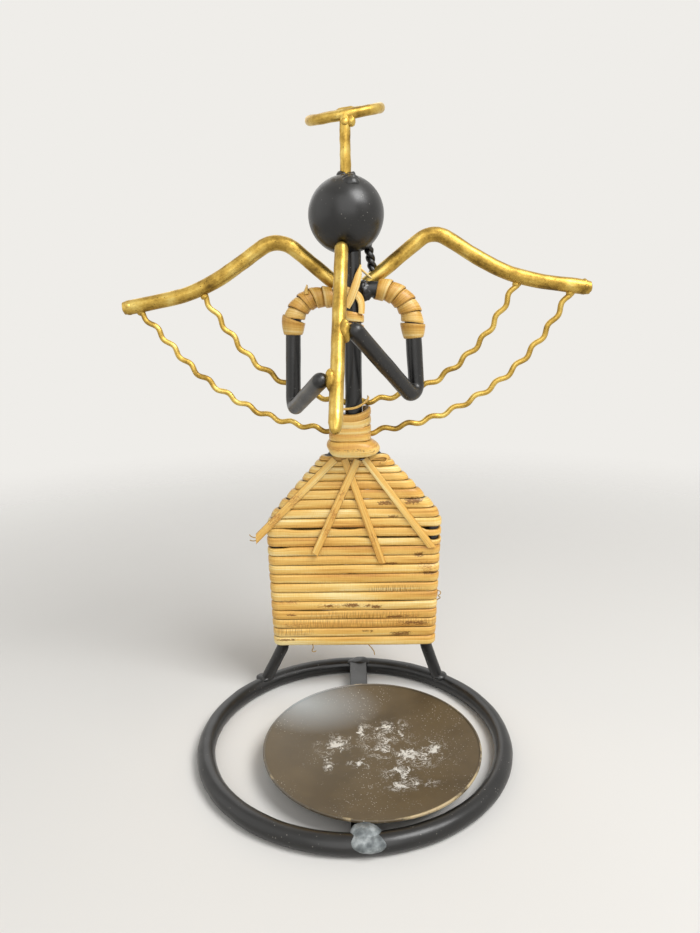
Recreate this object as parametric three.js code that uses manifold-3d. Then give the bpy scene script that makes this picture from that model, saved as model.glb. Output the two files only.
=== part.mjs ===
// A wrought iron candle holder: an angel of bent rods and wound rattan stands behind a drip pan.
// Millimetres, +Z up. The figure faces -Y, and the ring that it stands on lies round the Z axis
// until the last lines set the origin under the middle of the model.
import * as THREE from "three";
import { mergeVertices } from "three/addons/utils/BufferGeometryUtils.js";
import Module from "manifold-3d";

const wasm = await Module();
wasm.setup();

// Clearance between two pieces that touch
const seatGap = 0.3;

// Ring, flat bar and drip pan
const ringRadius = 67;
const ringBar = 8;
const barWidth = 9;
const barThickness = 3;
const barSide = 2.5;
const barHeight = 4.6;
const panLean = 1.5;
const panRadius = 47.3;
const panFloorRadius = 22;
const panDepth = 5.2;
const panLip = 1.3;
const panSheet = 1;
const panSide = 7.5;
const panFrontGap = 0.8;

// The two frame rods, from the ring up through the skirt to the waist
const frameBar = 6;
const footAngle = 43.6;
const footShift = 1.1;
const hemHeight = 25;
const hemBend = 8;
const skirtShoulderHeight = 93.2;
const skirtShoulderBend = 12;
const frameRods = {
  left: { hemOut: 38, shoulderOut: 40, shoulderRise: -1.4 },
  right: { hemOut: 36.3, shoulderOut: 39, shoulderRise: 1.4 },
};
const waistHeight = 133.3;
const waistBend = 5;
const frameTopRise = 13.7;
const waistSeatAngle = 60;

// Spine, head, trumpet and halo. The shoulders are so far above the waist, and the head above them.
const figureX = 1.5;
const spineBar = 8;
const spineFootRise = 0.7;
const torsoLength = 69.9;
const neckLength = 34;
const headDiameter = 34;
const headSide = 2.5;
const trumpetBar = 6;
const trumpetLength = 90;
const trumpetTilt = 33;
const trumpetYaw = 2;
const trumpetSeatDown = 50;
const trumpetSeatSide = 11;
const haloStemBar = 4.8;
const haloStemLength = 22.1;
const haloWidth = 37.2;
const haloBar = 4.5;
const haloLean = 15;
const haloRoll = 9;
const haloLapLength = 11;
const haloLapSwell = 0.5;
const braidWidth = 4.4;
const braidInset = 9.8;
const braidBack = 6.6;
const braidLean = 11;
const braidTwists = 2.5;

// Arms, wings and wires. Out is measured from the middle of the figure, back from its plane, and
// the hands along the trumpet. A rise is above the shoulders, or above a wire's own low end.
const arms = {
  left: {
    bar: 7,
    shoulder: { out: 27.2, rise: -1.6, bend: 13 },
    elbow: { out: 28.6, rise: -53.4, bend: 4.5 },
    handAlong: 67.4,
  },
  right: {
    bar: 7.5,
    shoulder: { out: 26.6, rise: 1.6, bend: 16 },
    elbow: { out: 30.2, rise: -50.4, bend: 4.5 },
    handAlong: 44.6,
  },
};
const wings = {
  left: {
    bar: 6.8,
    seatAngle: 59,
    rootOut: 7.6,
    peak: { out: 33.6, rise: 26.1, bend: 12.7 },
    valley: { out: 70.9, rise: 1.1, bend: 80 },
    tip: { out: 108.1, rise: -5.5 },
    yaw: 3.9,
  },
  right: {
    bar: 6.7,
    seatAngle: 21,
    rootOut: 6.4,
    peak: { out: 36.8, rise: 28, bend: 10.6 },
    valley: { out: 71.8, rise: 6.6, bend: 80 },
    tip: { out: 109, rise: 1.1 },
    yaw: -3.2,
  },
};
const wireBar = 2.6;
const waveLength = 11.6;
const waveHeight = 0.85;
const outerWireSeat = 1.6;
const wires = {
  inner_left: {
    tipGap: 38.6,
    knots: [
      { out: 59.4, back: 8.2, rise: 34.2 },
      { out: 46, back: 7.7, rise: 18.2 },
      { out: 23, back: 6.8, rise: 4.4 },
    ],
  },
  outer_left: {
    tipGap: 5.5,
    knots: [
      { out: 95.3, back: 9.9, rise: 53.5 },
      { out: 72.7, back: 9.4, rise: 28.5 },
      { out: 42.2, back: 8.4, rise: 9.6 },
    ],
  },
  inner_right: {
    tipGap: 33.3,
    knots: [
      { out: 59.8, back: 4.8, rise: 27.3 },
      { out: 38, back: 6.3, rise: 8.7 },
      { out: 14, back: 6.8, rise: 0.9 },
    ],
  },
  outer_right: {
    tipGap: 8.6,
    knots: [
      { out: 86.8, back: 2.8, rise: 43.6 },
      { out: 69.2, back: 3.3, rise: 25.2 },
      { out: 40.8, back: 4, rise: 9.1 },
    ],
  },
};

// Welds: half the width, depth and height of each drop
const ringWeldSize = [6.9, 4.8, 3.8];
const barWeldSize = [6, 4.4, 2.4];
const footWeldSize = [5, 4.8, 2.8];
const handWeldSize = [2.6, 3, 4.3];
const haloWeldSize = [2, 2.2, 2.4];
const weldLumps = 0.05;

// Rattan strips: skirt, straps, waist, chest, sleeves and cuffs
const skirtStrip = 4;
const skirtStripThickness = 1.2;
const skirtRowGap = 0.54;
const hemLift = 2.2;
const strapWidth = 3.8;
const strapThickness = 0.9;
// The ends of each strap lie beside the middle of the figure and below the waist band.
const skirtStraps = [
  { top: [-9.4, 1.7], foot: [-49.1, 41.6], cut: 45, layer: 0 },
  { top: [-4.7, 1.6], foot: [13.3, 54.6], cut: 70, layer: 0 },
  { top: [1.6, 1.8], foot: [-20, 49.4], cut: 75, layer: 1 },
  { top: [4.9, 1.6], foot: [38.1, 47], cut: 55, layer: 0 },
];
const waistRoom = 1.1;
const waistShift = 1.9;
const waistRoundness = 4;
const waistStrip = 3.1;
const waistStripThickness = 1.2;
const waistRowGap = 0.5;
const waistTurns = 3.5;
const strapLift = 0.2;
const bandDrop = 6.3;
const bandHeight = 8;
const bandSideRise = 3;
const bandThickness = 1.2;
const bandBulge = 1.3;
const bandOpening = 8;
const chestDrop = 5.9;
const strapDrop = 7.7;
const chestStrip = 4.8;
const chestTailStrip = 2.4;
const chestStripThickness = 0.9;
const chestRowGap = 0.6;
const chestTurns = 2.6;
// Chest straps. Each knot stands beside the spine's middle, off its front and over the winding.
const rearStrapKnots = [
  { at: [-7.6, 1.6, 10.6], facing: [-0.3, -0.8, 0.5], width: 3.6 },
  { at: [-5.4, 0.3, 9.2], facing: [0, -1, 0], width: 3.8 },
  { at: [-1.8, -0.1, 8.4], facing: [0, -1, 0], width: 3.8 },
  { at: [1.8, 0, 6.8], facing: [0.15, -1, 0], width: 3.8 },
  { at: [3.9, 0.6, 4.6], facing: [0.5, -1, 0], width: 3.4 },
  { at: [4.6, 1.2, 2.4], facing: [0.7, -1, 0], width: 3 },
];
const frontStrapKnots = [
  { at: [-2.6, 0.2, 1.3], facing: [-0.15, -1, 0], width: 3 },
  { at: [-0.9, 0, 5], facing: [0, -1, 0], width: 3.8 },
  { at: [1.4, 0, 11], facing: [0, -1, 0], width: 3.8 },
  { at: [2.7, 0.2, 15.4], facing: [0.1, -1, 0.1], width: 3.2 },
  { at: [3.7, 0.9, 19.8], facing: [0.2, -1, 0.2], width: 0.7 },
];
const foldKnots = [
  { at: [3.2, 0.2, 17.9], facing: [0.6, -0.3, 0.7], width: 1.4 },
  { at: [4.8, 1.6, 16.6], facing: [0.6, 0, 0.75], width: 3 },
  { at: [8, 3.2, 14], facing: [0.6, 0, 0.75], width: 3.4 },
];
const sleeveStripThickness = 1.3;
const sleeveRowGap = 0.75;
const sleeveTurns = 4.7;
const sleeveStarts = { left: 6.6, right: 8.9 };
const cuffs = { left: { drop: 12.2, height: 5.9 }, right: { drop: 14.6, height: 5.4 } };
const cuffThickness = 0.7;
const cuffFlare = 0.8;
const cuffOpening = 15;

// Finishes
const blackIron = { color: 0x1d1b19, roughness: 0.42, metalness: 0.55 };
const bareWeld = { color: 0x9c9a95, roughness: 0.5, metalness: 0.7 };
const panIron = { color: 0x4c463e, roughness: 0.5, metalness: 0.45 };
const goldPaint = { color: 0xb8934a, roughness: 0.4, metalness: 0.6 };
const rattan = { color: 0xd9b985, roughness: 0.6, metalness: 0 };
const paleRattan = { color: 0xe3c791, roughness: 0.58, metalness: 0 };

const sides = { left: -1, right: 1 };
const degrees = Math.PI / 180;
const vec = (x, y, z) => new THREE.Vector3(x, y, z);

// Places that several pieces share
const shoulderHeight = waistHeight + torsoLength;
const headHeight = shoulderHeight + neckLength;
const bandFoot = waistHeight - bandDrop;
const bandTop = bandFoot + bandHeight;
const chestTop = shoulderHeight - chestDrop;
const footX = ringRadius * Math.sin(footAngle * degrees);
const frameY = ringRadius * Math.cos(footAngle * degrees);
const waistReach = (spineBar + frameBar) / 2 + seatGap;
const frameTopOut = waistReach * Math.cos(waistSeatAngle * degrees);
const figureY = frameY - waistReach * Math.sin(waistSeatAngle * degrees);
const headCentre = vec(figureX - headSide, figureY, headHeight);

// A closed body from its points and triangles, with its faces turned outward.
function closedBody(points, faces) {
  const volume = faces.reduce((sum, [a, b, c]) => {
    return sum + points[a].dot(points[b].clone().cross(points[c]));
  }, 0);
  const outward = volume > 0 ? faces : faces.map(([a, b, c]) => [a, c, b]);
  const geometry = new THREE.BufferGeometry().setFromPoints(points);
  geometry.setIndex(outward.flat());
  return geometry;
}

// Rings of points joined into one closed body, with a fan over each end.
function skin(rings, endless = false) {
  const around = rings[0].length;
  const faces = [];
  const joins = endless ? rings.length : rings.length - 1;
  for (let ring = 0; ring < joins; ring++) {
    const here = ring * around;
    const there = ((ring + 1) % rings.length) * around;
    for (let k = 0; k < around; k++) {
      const next = (k + 1) % around;
      faces.push([here + k, here + next, there + next], [here + k, there + next, there + k]);
    }
  }
  if (!endless) {
    const last = (rings.length - 1) * around;
    for (let k = 1; k < around - 1; k++) {
      faces.push([0, k + 1, k], [last, last + k, last + k + 1]);
    }
  }
  return closedBody(rings.flat(), faces);
}

// A bent bar: each inner corner of the route becomes an arc of its bend radius, as far as its
// straight runs allow. A run between two bends is shared by both, and an end run serves one.
const sharedRun = 0.48;
const endRun = 0.9;
function bentPath(corners, bends, step = 15) {
  const path = [corners[0].clone()];
  for (let i = 1; i < corners.length - 1; i++) {
    const back = corners[i - 1].clone().sub(corners[i]);
    const ahead = corners[i + 1].clone().sub(corners[i]);
    const backRoom = (i === 1 ? endRun : sharedRun) * back.length();
    const aheadRoom = (i === corners.length - 2 ? endRun : sharedRun) * ahead.length();
    const room = Math.min(backRoom, aheadRoom);
    back.normalize();
    ahead.normalize();
    const turn = Math.PI - back.angleTo(ahead);
    const setback = Math.min(bends[i - 1] * Math.tan(turn / 2), room);
    const radius = setback / Math.tan(turn / 2);
    const toCentre = back.clone().add(ahead).normalize().multiplyScalar(radius / Math.cos(turn / 2));
    const centre = corners[i].clone().add(toCentre);
    const arm = corners[i].clone().addScaledVector(back, setback).sub(centre);
    const axis = ahead.clone().cross(back).normalize();
    const steps = Math.max(1, Math.round(turn / (step * degrees)));
    for (let k = 0; k <= steps; k++) {
      path.push(arm.clone().applyAxisAngle(axis, (turn * k) / steps).add(centre));
    }
  }
  path.push(corners[corners.length - 1].clone());
  return path;
}

// The direction of a path at each of its points.
function directions(path, endless = false) {
  const count = path.length;
  return path.map((point, i) => {
    const before = path[endless ? (i + count - 1) % count : Math.max(i - 1, 0)];
    const after = path[endless ? (i + 1) % count : Math.min(i + 1, count - 1)];
    const incoming = point.clone().sub(before).normalize();
    const outgoing = after.clone().sub(point).normalize();
    return incoming.add(outgoing).normalize();
  });
}

// A round bar along a path. A domed end bulges past the path's last point, and the radius may
// vary with the angle round the bar and the share of the way along it.
function bar(path, diameter, around, { domed = false, endless = false, shape = () => 1 } = {}) {
  const along = directions(path, endless);
  const radius = diameter / 2;
  const side = vec(0.31, 0.87, 0.38);
  const ringAt = (centre, direction, size, share) => {
    side.addScaledVector(direction, -side.dot(direction)).normalize();
    const other = direction.clone().cross(side);
    return Array.from({ length: around }, (_, k) => {
      const angle = (2 * Math.PI * (k + 0.5)) / around;
      const reach = size * shape(angle, share);
      return centre
        .clone()
        .addScaledVector(side, reach * Math.cos(angle))
        .addScaledVector(other, reach * Math.sin(angle));
    });
  };
  const rings = path.map((point, i) => ringAt(point, along[i], radius, i / (path.length - 1)));
  if (domed) {
    const tip = path[path.length - 1];
    const direction = along[along.length - 1];
    for (const rise of [25, 50, 72]) {
      const centre = tip.clone().addScaledVector(direction, radius * Math.sin(rise * degrees));
      rings.push(ringAt(centre, direction, radius * Math.cos(rise * degrees), 1));
    }
  }
  return skin(rings, endless);
}

// A flat strip through knots measured from an origin, its back on the knots and its crowned face
// turned the way that each of them faces.
function strip(knots, origin, thickness) {
  const path = knots.map(({ at }) => vec(...at).add(origin));
  const along = directions(path);
  const rings = path.map((point, i) => {
    const facing = vec(...knots[i].facing);
    const up = facing.addScaledVector(along[i], -facing.dot(along[i])).normalize();
    const across = along[i].clone().cross(up);
    const half = knots[i].width / 2;
    const section = [
      [-half, 0],
      [half, 0],
      [half, 0.7 * thickness],
      [0, thickness],
      [-half, 0.7 * thickness],
    ];
    return section.map(([a, b]) => point.clone().addScaledVector(across, a).addScaledVector(up, b));
  });
  return skin(rings);
}

// The section of a wound strip, as shares of its half width and its thickness.
const crownedSection = [
  [-1, 0],
  [1, 0],
  [1, 0.7],
  [0.45, 1],
  [-0.45, 1],
  [-1, 0.7],
];

// One unbroken strip wound round a core. At each step, place(step, along, lift) gives the point so
// far along the core and so far off it. The least gap from turn to turn is measured and printed.
function windStrip({ name, place, steps, perTurn, along, width, thickness, section = crownedSection }) {
  const rings = [];
  for (let step = 0; step <= steps; step++) {
    rings.push(
      section.map(([a, b]) => place(step, along(step) + (a * width(step)) / 2, b * thickness)),
    );
  }
  let leastGap = Infinity;
  for (let i = 0; i + perTurn - 1 < rings.length; i++) {
    for (const j of [i + perTurn - 1, i + perTurn, i + perTurn + 1]) {
      for (const p of rings[i]) {
        for (const q of rings[j] ?? []) leastGap = Math.min(leastGap, p.distanceTo(q));
      }
    }
  }
  console.log(name + ": least gap between turns " + leastGap.toFixed(2) + " mm");
  return skin(rings);
}

// A three.js geometry as a solid, and back.
function solidOf(geometry) {
  const bare = new THREE.BufferGeometry().setAttribute("position", geometry.getAttribute("position"));
  bare.setIndex(geometry.getIndex());
  const merged = mergeVertices(bare, 1e-4);
  return new wasm.Manifold(
    new wasm.Mesh({
      numProp: 3,
      vertProperties: merged.getAttribute("position").array,
      triVerts: new Uint32Array(merged.getIndex().array),
    }),
  );
}

function geometryOf(solid) {
  const mesh = solid.getMesh();
  const geometry = new THREE.BufferGeometry();
  geometry.setAttribute("position", new THREE.BufferAttribute(new Float32Array(mesh.vertProperties), 3));
  geometry.setIndex(new THREE.BufferAttribute(new Uint32Array(mesh.triVerts), 1));
  return geometry;
}

// Cuts the cutters out of a body and keeps the largest piece that is left.
function carve(geometry, cutters) {
  const cut = cutters.reduce((left, cutter) => left.subtract(solidOf(cutter)), solidOf(geometry));
  const pieces = cut.decompose().sort((a, b) => b.volume() - a.volume());
  return geometryOf(pieces[0]);
}

const holder = new THREE.Group();

function addPiece(name, geometry, finish, parent = holder) {
  geometry.computeVertexNormals();
  const mesh = new THREE.Mesh(geometry, new THREE.MeshStandardMaterial(finish));
  mesh.name = name;
  parent.add(mesh);
  return mesh;
}

// Ring. Ten sides, so that a flat facet lies along the bottom.
function ringGeometry(extra) {
  const facets = 10;
  const radius = (ringBar / 2 + extra) / Math.cos(Math.PI / facets);
  return new THREE.TorusGeometry(ringRadius, radius, facets, 56).translate(0, 0, ringBar / 2);
}
addPiece("base_ring", ringGeometry(0), blackIron);
const ringCutter = ringGeometry(seatGap);

// Flat bar and pan share a plane that leans forward.
const leaningPlane = new THREE.Group();
leaningPlane.position.set(barSide, 0, barHeight);
leaningPlane.rotation.x = panLean * degrees;
leaningPlane.updateMatrix();
holder.add(leaningPlane);
const intoPlane = leaningPlane.matrix.clone().invert();
const panFoot = barThickness / 2 + seatGap;

function barGeometry(extra) {
  return new THREE.BoxGeometry(barWidth + 2 * extra, 2 * ringRadius, barThickness + 2 * extra);
}
const ringInPlane = ringCutter.clone().applyMatrix4(intoPlane);
addPiece("pan_bar", carve(barGeometry(0), [ringInPlane]), blackIron, leaningPlane);

// Pan. A flat floor, an arc that rises to the rim, and a short upright lip.
function panGeometry(extra) {
  const rise = panDepth - panLip;
  const run = panRadius - panFloorRadius;
  const arcRadius = (run * run + rise * rise) / (2 * rise);
  const arcTurn = Math.asin(run / arcRadius);
  const arcSteps = 5;
  const wall = (offset) =>
    Array.from({ length: arcSteps + 1 }, (_, k) => {
      const angle = (arcTurn * k) / arcSteps;
      const reach = arcRadius - offset;
      const out = panFloorRadius + reach * Math.sin(angle);
      return new THREE.Vector2(out, arcRadius - reach * Math.cos(angle));
    });
  const outside = wall(-extra);
  const inside = wall(panSheet + extra).reverse();
  const rimInner = panRadius - panSheet - extra;
  const profile = [
    new THREE.Vector2(0, -extra),
    ...outside.slice(0, -1),
    new THREE.Vector2(panRadius + extra, rise),
    new THREE.Vector2(panRadius + extra, panDepth + extra),
    new THREE.Vector2(rimInner, panDepth + extra),
    new THREE.Vector2(rimInner, rise + 0.6 * panSheet),
    ...inside.slice(1),
    new THREE.Vector2(0, panSheet + extra),
  ];
  return new THREE.LatheGeometry(profile, 48).rotateX(Math.PI / 2);
}
const pan = addPiece("drip_pan", panGeometry(0), panIron, leaningPlane);
const panForward = ringRadius - ringBar / 2 - panFrontGap - panRadius;
pan.position.set(panSide - barSide, -panForward, panFoot);

const panCutter = panGeometry(seatGap)
  .translate(panSide - barSide, -panForward, panFoot)
  .applyMatrix4(leaningPlane.matrix);
const barCutter = barGeometry(seatGap).applyMatrix4(leaningPlane.matrix);

// A weld: a lumpy drop, cut back by what it joins.
function weldGeometry(centre, size, cutters) {
  const drop = new THREE.SphereGeometry(1, 10, 7);
  const at = drop.getAttribute("position");
  const point = vec(0, 0, 0);
  for (let i = 0; i < at.count; i++) {
    point.fromBufferAttribute(at, i);
    const wave = Math.sin(4 * point.x + 1) * Math.sin(5 * point.y + 2) + Math.sin(4.5 * point.z);
    point.multiplyScalar(1 + weldLumps * wave).multiply(vec(...size)).add(centre);
    at.setXYZ(i, point.x, point.y, point.z);
  }
  return carve(drop, cutters);
}
const ringWeldCentre = vec(barSide + 1.5, 0.8 - ringRadius, 0.8 * ringBar);
const ringWeld = weldGeometry(ringWeldCentre, ringWeldSize, [ringCutter, barCutter, panCutter]);
addPiece("ring_weld", ringWeld, bareWeld);
const barWeldCentre = vec(barSide + 0.6, ringRadius - 1.8, ringBar);
const barWeld = weldGeometry(barWeldCentre, barWeldSize, [ringCutter, barCutter]);
addPiece("bar_weld", barWeld, blackIron);

// Frame rods, from the ring up to the spine, nearly alike on both sides.
function framePath(side, step = 15) {
  const { hemOut, shoulderOut, shoulderRise } = frameRods[side];
  const sign = sides[side];
  const corners = [
    vec(sign * footX - footShift, frameY, ringBar / 2),
    vec(figureX + sign * hemOut, frameY, hemHeight),
    vec(figureX + sign * shoulderOut, frameY, skirtShoulderHeight + shoulderRise),
    vec(figureX + sign * frameTopOut, frameY, waistHeight),
    vec(figureX + sign * frameTopOut, frameY, waistHeight + frameTopRise),
  ];
  return bentPath(corners, [hemBend, skirtShoulderBend, waistBend], step);
}
const frameCutters = [];
for (const [side, sign] of Object.entries(sides)) {
  const path = framePath(side);
  addPiece("frame_rod_" + side, carve(bar(path, frameBar, 10), [ringCutter]), blackIron);
  const rodCutter = bar(path, frameBar + 2 * seatGap, 10);
  frameCutters.push(rodCutter);
  const centre = vec(sign * footX - footShift, frameY, ringBar + 0.2);
  const weld = weldGeometry(centre, footWeldSize, [ringCutter, rodCutter]);
  addPiece("foot_weld_" + side, weld, blackIron);
}

// Head and spine.
function headGeometry(extra) {
  const ball = new THREE.SphereGeometry(headDiameter / 2 + extra, 28, 18);
  return ball.rotateX(Math.PI / 2).translate(...headCentre);
}
addPiece("head_ball", headGeometry(0), blackIron);
const headCutter = headGeometry(seatGap);
const spineFoot = vec(figureX, figureY, waistHeight + spineFootRise);
const spinePath = [spineFoot, vec(figureX, figureY, headHeight)];
addPiece("spine", carve(bar(spinePath, spineBar, 12), [headCutter]), blackIron);
const spineCutter = bar(spinePath, spineBar + 2 * seatGap, 12);

// Trumpet. Its domed top touches the mouth, low on the front of the head, and it leans towards
// the pan.
const trumpetDirection = vec(
  -Math.sin(trumpetYaw * degrees),
  -Math.sin(trumpetTilt * degrees),
  -Math.cos(trumpetTilt * degrees),
).normalize();
const mouth = vec(
  -Math.sin(trumpetSeatSide * degrees) * Math.cos(trumpetSeatDown * degrees),
  -Math.cos(trumpetSeatSide * degrees) * Math.cos(trumpetSeatDown * degrees),
  -Math.sin(trumpetSeatDown * degrees),
)
  .multiplyScalar(headDiameter / 2)
  .add(headCentre);
const alongTrumpet = (distance) => mouth.clone().addScaledVector(trumpetDirection, distance);
const trumpetPath = [alongTrumpet(trumpetLength), alongTrumpet(trumpetBar / 2)];
const trumpet = bar(trumpetPath, trumpetBar, 12, { domed: true });
addPiece("trumpet", carve(trumpet, [headCutter]), goldPaint);
const trumpetCutter = bar(trumpetPath, trumpetBar + 2 * seatGap, 12);

// Arms. Each bends at the shoulder and the elbow and ends beside the trumpet.
function armPath(side, step = 15) {
  const { bar: armBar, shoulder, elbow, handAlong } = arms[side];
  const sign = sides[side];
  const handSide = sign * ((trumpetBar + armBar) / 2 + seatGap);
  const corners = [
    vec(figureX, figureY, shoulderHeight + shoulder.rise),
    vec(figureX + sign * shoulder.out, figureY, shoulderHeight + shoulder.rise),
    vec(figureX + sign * elbow.out, figureY, shoulderHeight + elbow.rise),
    alongTrumpet(handAlong).add(vec(handSide, 0, 0)),
  ];
  return bentPath(corners, [shoulder.bend, elbow.bend], step);
}
const armCutters = {};
for (const [side, sign] of Object.entries(sides)) {
  const path = armPath(side);
  const arm = carve(bar(path, arms[side].bar, 12, { domed: true }), [spineCutter, trumpetCutter]);
  addPiece("arm_" + side, arm, blackIron);
  armCutters[side] = bar(path, arms[side].bar + 2 * seatGap, 12, { domed: true });
  const handFace = vec(sign * (trumpetBar / 2 + 0.6), -1.6, 0.4);
  const centre = alongTrumpet(arms[side].handAlong).add(handFace);
  const weld = weldGeometry(centre, handWeldSize, [trumpetCutter, armCutters[side]]);
  addPiece("hand_weld_" + side, weld, goldPaint);
}

// Wings. Each rod lies on the back of a shoulder, rises to a peak, dips and runs out to its tip.
function wingPath(side, step = 15) {
  const { bar: wingBar, seatAngle, rootOut, peak, valley, tip, yaw } = wings[side];
  const sign = sides[side];
  const reach = (arms[side].bar + wingBar) / 2;
  const rootY = figureY + reach * Math.cos(seatAngle * degrees);
  const rootRise = arms[side].shoulder.rise + reach * Math.sin(seatAngle * degrees);
  const at = ({ out, rise }) => {
    const y = rootY + (out - rootOut) * Math.tan(yaw * degrees);
    return vec(figureX + sign * out, y, shoulderHeight + rise);
  };
  const corners = [at({ out: rootOut, rise: rootRise }), at(peak), at(valley), at(tip)];
  return bentPath(corners, [peak.bend, valley.bend], step);
}
const wingCutters = {};
for (const side of Object.keys(sides)) {
  const path = wingPath(side);
  const wing = carve(bar(path, wings[side].bar, 12), [armCutters[side], spineCutter]);
  addPiece("wing_rod_" + side, wing, goldPaint);
  wingCutters[side] = bar(path, wings[side].bar + 2 * seatGap, 12);
}

// Waist: the oval round the spine and the two frame rods, so far off its core. It is wound more
// loosely on the left, so its middle lies left of the figure's.
const waistX = figureX - waistShift;
const waistSide = frameTopOut + frameBar / 2 + seatGap + waistShift;
const waistY = (frameY + frameBar / 2 + figureY - spineBar / 2) / 2;
const waistDeep = frameY + frameBar / 2 - waistY + waistRoom;
function onWaist(angle, height, lift, halfWidth = waistSide) {
  const power = 2 / waistRoundness;
  const bend = (value) => Math.sign(value) * Math.abs(value) ** power;
  return vec(
    waistX + (halfWidth + lift) * bend(Math.cos(angle)),
    waistY + (waistDeep + lift) * bend(Math.sin(angle)),
    height,
  );
}
const waistSteps = 20;
const waistPitch = waistStrip + waistRowGap;
const waistWindingFoot = bandTop + seatGap + waistStrip / 2;
const waistWindingTop = waistWindingFoot + waistPitch * waistTurns + waistStrip / 2;
const waistCutter = skin(
  [bandTop, waistWindingTop + seatGap].map((height) =>
    Array.from({ length: waistSteps }, (_, k) =>
      onWaist((2 * Math.PI * k) / waistSteps, height, waistStripThickness + seatGap),
    ),
  ),
);

// Wavy wires, from under a wing to the spine or to the side of the waist.
function wirePath(name) {
  const { tipGap, knots } = wires[name];
  const [row, side] = name.split("_");
  const sign = sides[side];
  const wing = new THREE.CurvePath();
  const wingPoints = wingPath(side);
  wingPoints.slice(1).forEach((point, i) => wing.add(new THREE.LineCurve3(wingPoints[i], point)));
  const startX = figureX + sign * (wings[side].tip.out - tipGap);
  const start = wing.getSpacedPoints(200).find((point) => sign * (point.x - startX) >= 0);
  const end = vec(figureX, figureY, waistWindingTop + wireBar / 2 + 2 * seatGap);
  if (row === "outer") end.set(figureX, waistY, bandTop + outerWireSeat);
  const route = new THREE.CatmullRomCurve3([
    start,
    ...knots.map(({ out, back, rise }) => vec(figureX + sign * out, figureY + back, end.z + rise)),
    end,
  ]);
  const waves = Math.round((2 * route.getLength()) / waveLength) / 2;
  const steps = Math.round(waves * 6);
  return Array.from({ length: steps + 1 }, (_, i) => {
    const share = i / steps;
    const along = route.getTangentAt(share);
    const swing = waveHeight * Math.sin(2 * Math.PI * waves * share);
    return route.getPointAt(share).addScaledVector(vec(-along.z, 0, along.x).normalize(), swing);
  });
}
for (const name of Object.keys(wires)) {
  const side = name.split("_")[1];
  const cutters = [wingCutters[side], spineCutter, waistCutter, ...frameCutters];
  addPiece("wire_" + name, carve(bar(wirePath(name), wireBar, 6), cutters), goldPaint);
}

// Halo: a bent ring whose front rests on its stem and whose lapped ends meet at the back.
const haloRadius = (haloWidth - haloBar) / 2;
const stemTop = headHeight + headDiameter / 2 + haloStemLength;
const haloFront = vec(headCentre.x, figureY, stemTop + haloBar / 2);
const haloAcross = vec(Math.cos(haloRoll * degrees), 0, Math.sin(haloRoll * degrees));
const haloBack = vec(0, Math.cos(haloLean * degrees), Math.sin(haloLean * degrees));
const haloSteps = 28;
const haloPath = Array.from({ length: haloSteps }, (_, k) => {
  const angle = (2 * Math.PI * k) / haloSteps;
  return haloFront
    .clone()
    .addScaledVector(haloAcross, haloRadius * Math.sin(angle))
    .addScaledVector(haloBack, haloRadius * (1 - Math.cos(angle)));
});
function haloSwell(angle, share) {
  const fromBack = Math.abs(share * (1 - 1 / haloSteps) - 0.5) * 2 * Math.PI * haloRadius;
  return fromBack < haloLapLength / 2 ? 1 + haloLapSwell / (haloBar / 2) : 1;
}
addPiece("halo_ring", bar(haloPath, haloBar, 8, { endless: true, shape: haloSwell }), goldPaint);
const haloCutter = bar(haloPath, haloBar + 2 * seatGap, 8, { endless: true });
const stemPath = [headCentre.clone(), haloFront.clone()];
addPiece("halo_stem", carve(bar(stemPath, haloStemBar, 10), [headCutter, haloCutter]), goldPaint);
const stemCutter = bar(stemPath, haloStemBar + 2 * seatGap, 10);
const haloWeldCentre = haloFront.clone().add(vec(haloStemBar / 2 + 1, -0.6, -haloBar / 2 - 0.4));
const haloWeld = weldGeometry(haloWeldCentre, haloWeldSize, [stemCutter, haloCutter]);
addPiece("halo_weld", haloWeld, goldPaint);

// Braid: two thick strands twisted together, from the head down to the right wing.
const braidOut = headDiameter / 2 - braidInset;
const braidTop = vec(figureX + braidOut, figureY + braidBack, headHeight - headDiameter / 3);
const braidLength = neckLength - wings.right.peak.rise + headDiameter / 3;
const braidSteps = 14;
const braidPath = Array.from({ length: braidSteps + 1 }, (_, k) => {
  const down = (braidLength * k) / braidSteps;
  return braidTop.clone().add(vec(down * Math.tan(braidLean * degrees), 0, -down));
});
const braidTurn = 2 * Math.PI * braidTwists;
const braidShape = (angle, share) => 0.84 + 0.16 * Math.cos(2 * (angle - braidTurn * share));
const braid = bar(braidPath, braidWidth, 10, { shape: braidShape });
addPiece("braid", carve(braid, [headCutter, wingCutters.right, armCutters.right]), blackIron);

// Skirt: one strip wound round both frame rods. The rows lie level over the front and climb
// across the back, from one rod to the other.
const outlineStep = 1;
function frameOutline(side) {
  return framePath(side, 3).flatMap((point, i, path) => {
    const next = path[i + 1] ?? point;
    const count = Math.max(1, Math.ceil(point.distanceTo(next) / outlineStep));
    return Array.from({ length: count }, (_, k) => point.clone().lerp(next, k / count));
  });
}
const frameOutlines = { left: frameOutline("left"), right: frameOutline("right") };
function frameOut(side, height) {
  const outline = frameOutlines[side];
  const above = outline.findIndex((point) => point.z >= height);
  const [low, high] = [outline[above - 1], outline[above]];
  const x = low.x + ((high.x - low.x) * (height - low.z)) / (high.z - low.z);
  return sides[side] * (x - figureX);
}
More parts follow.
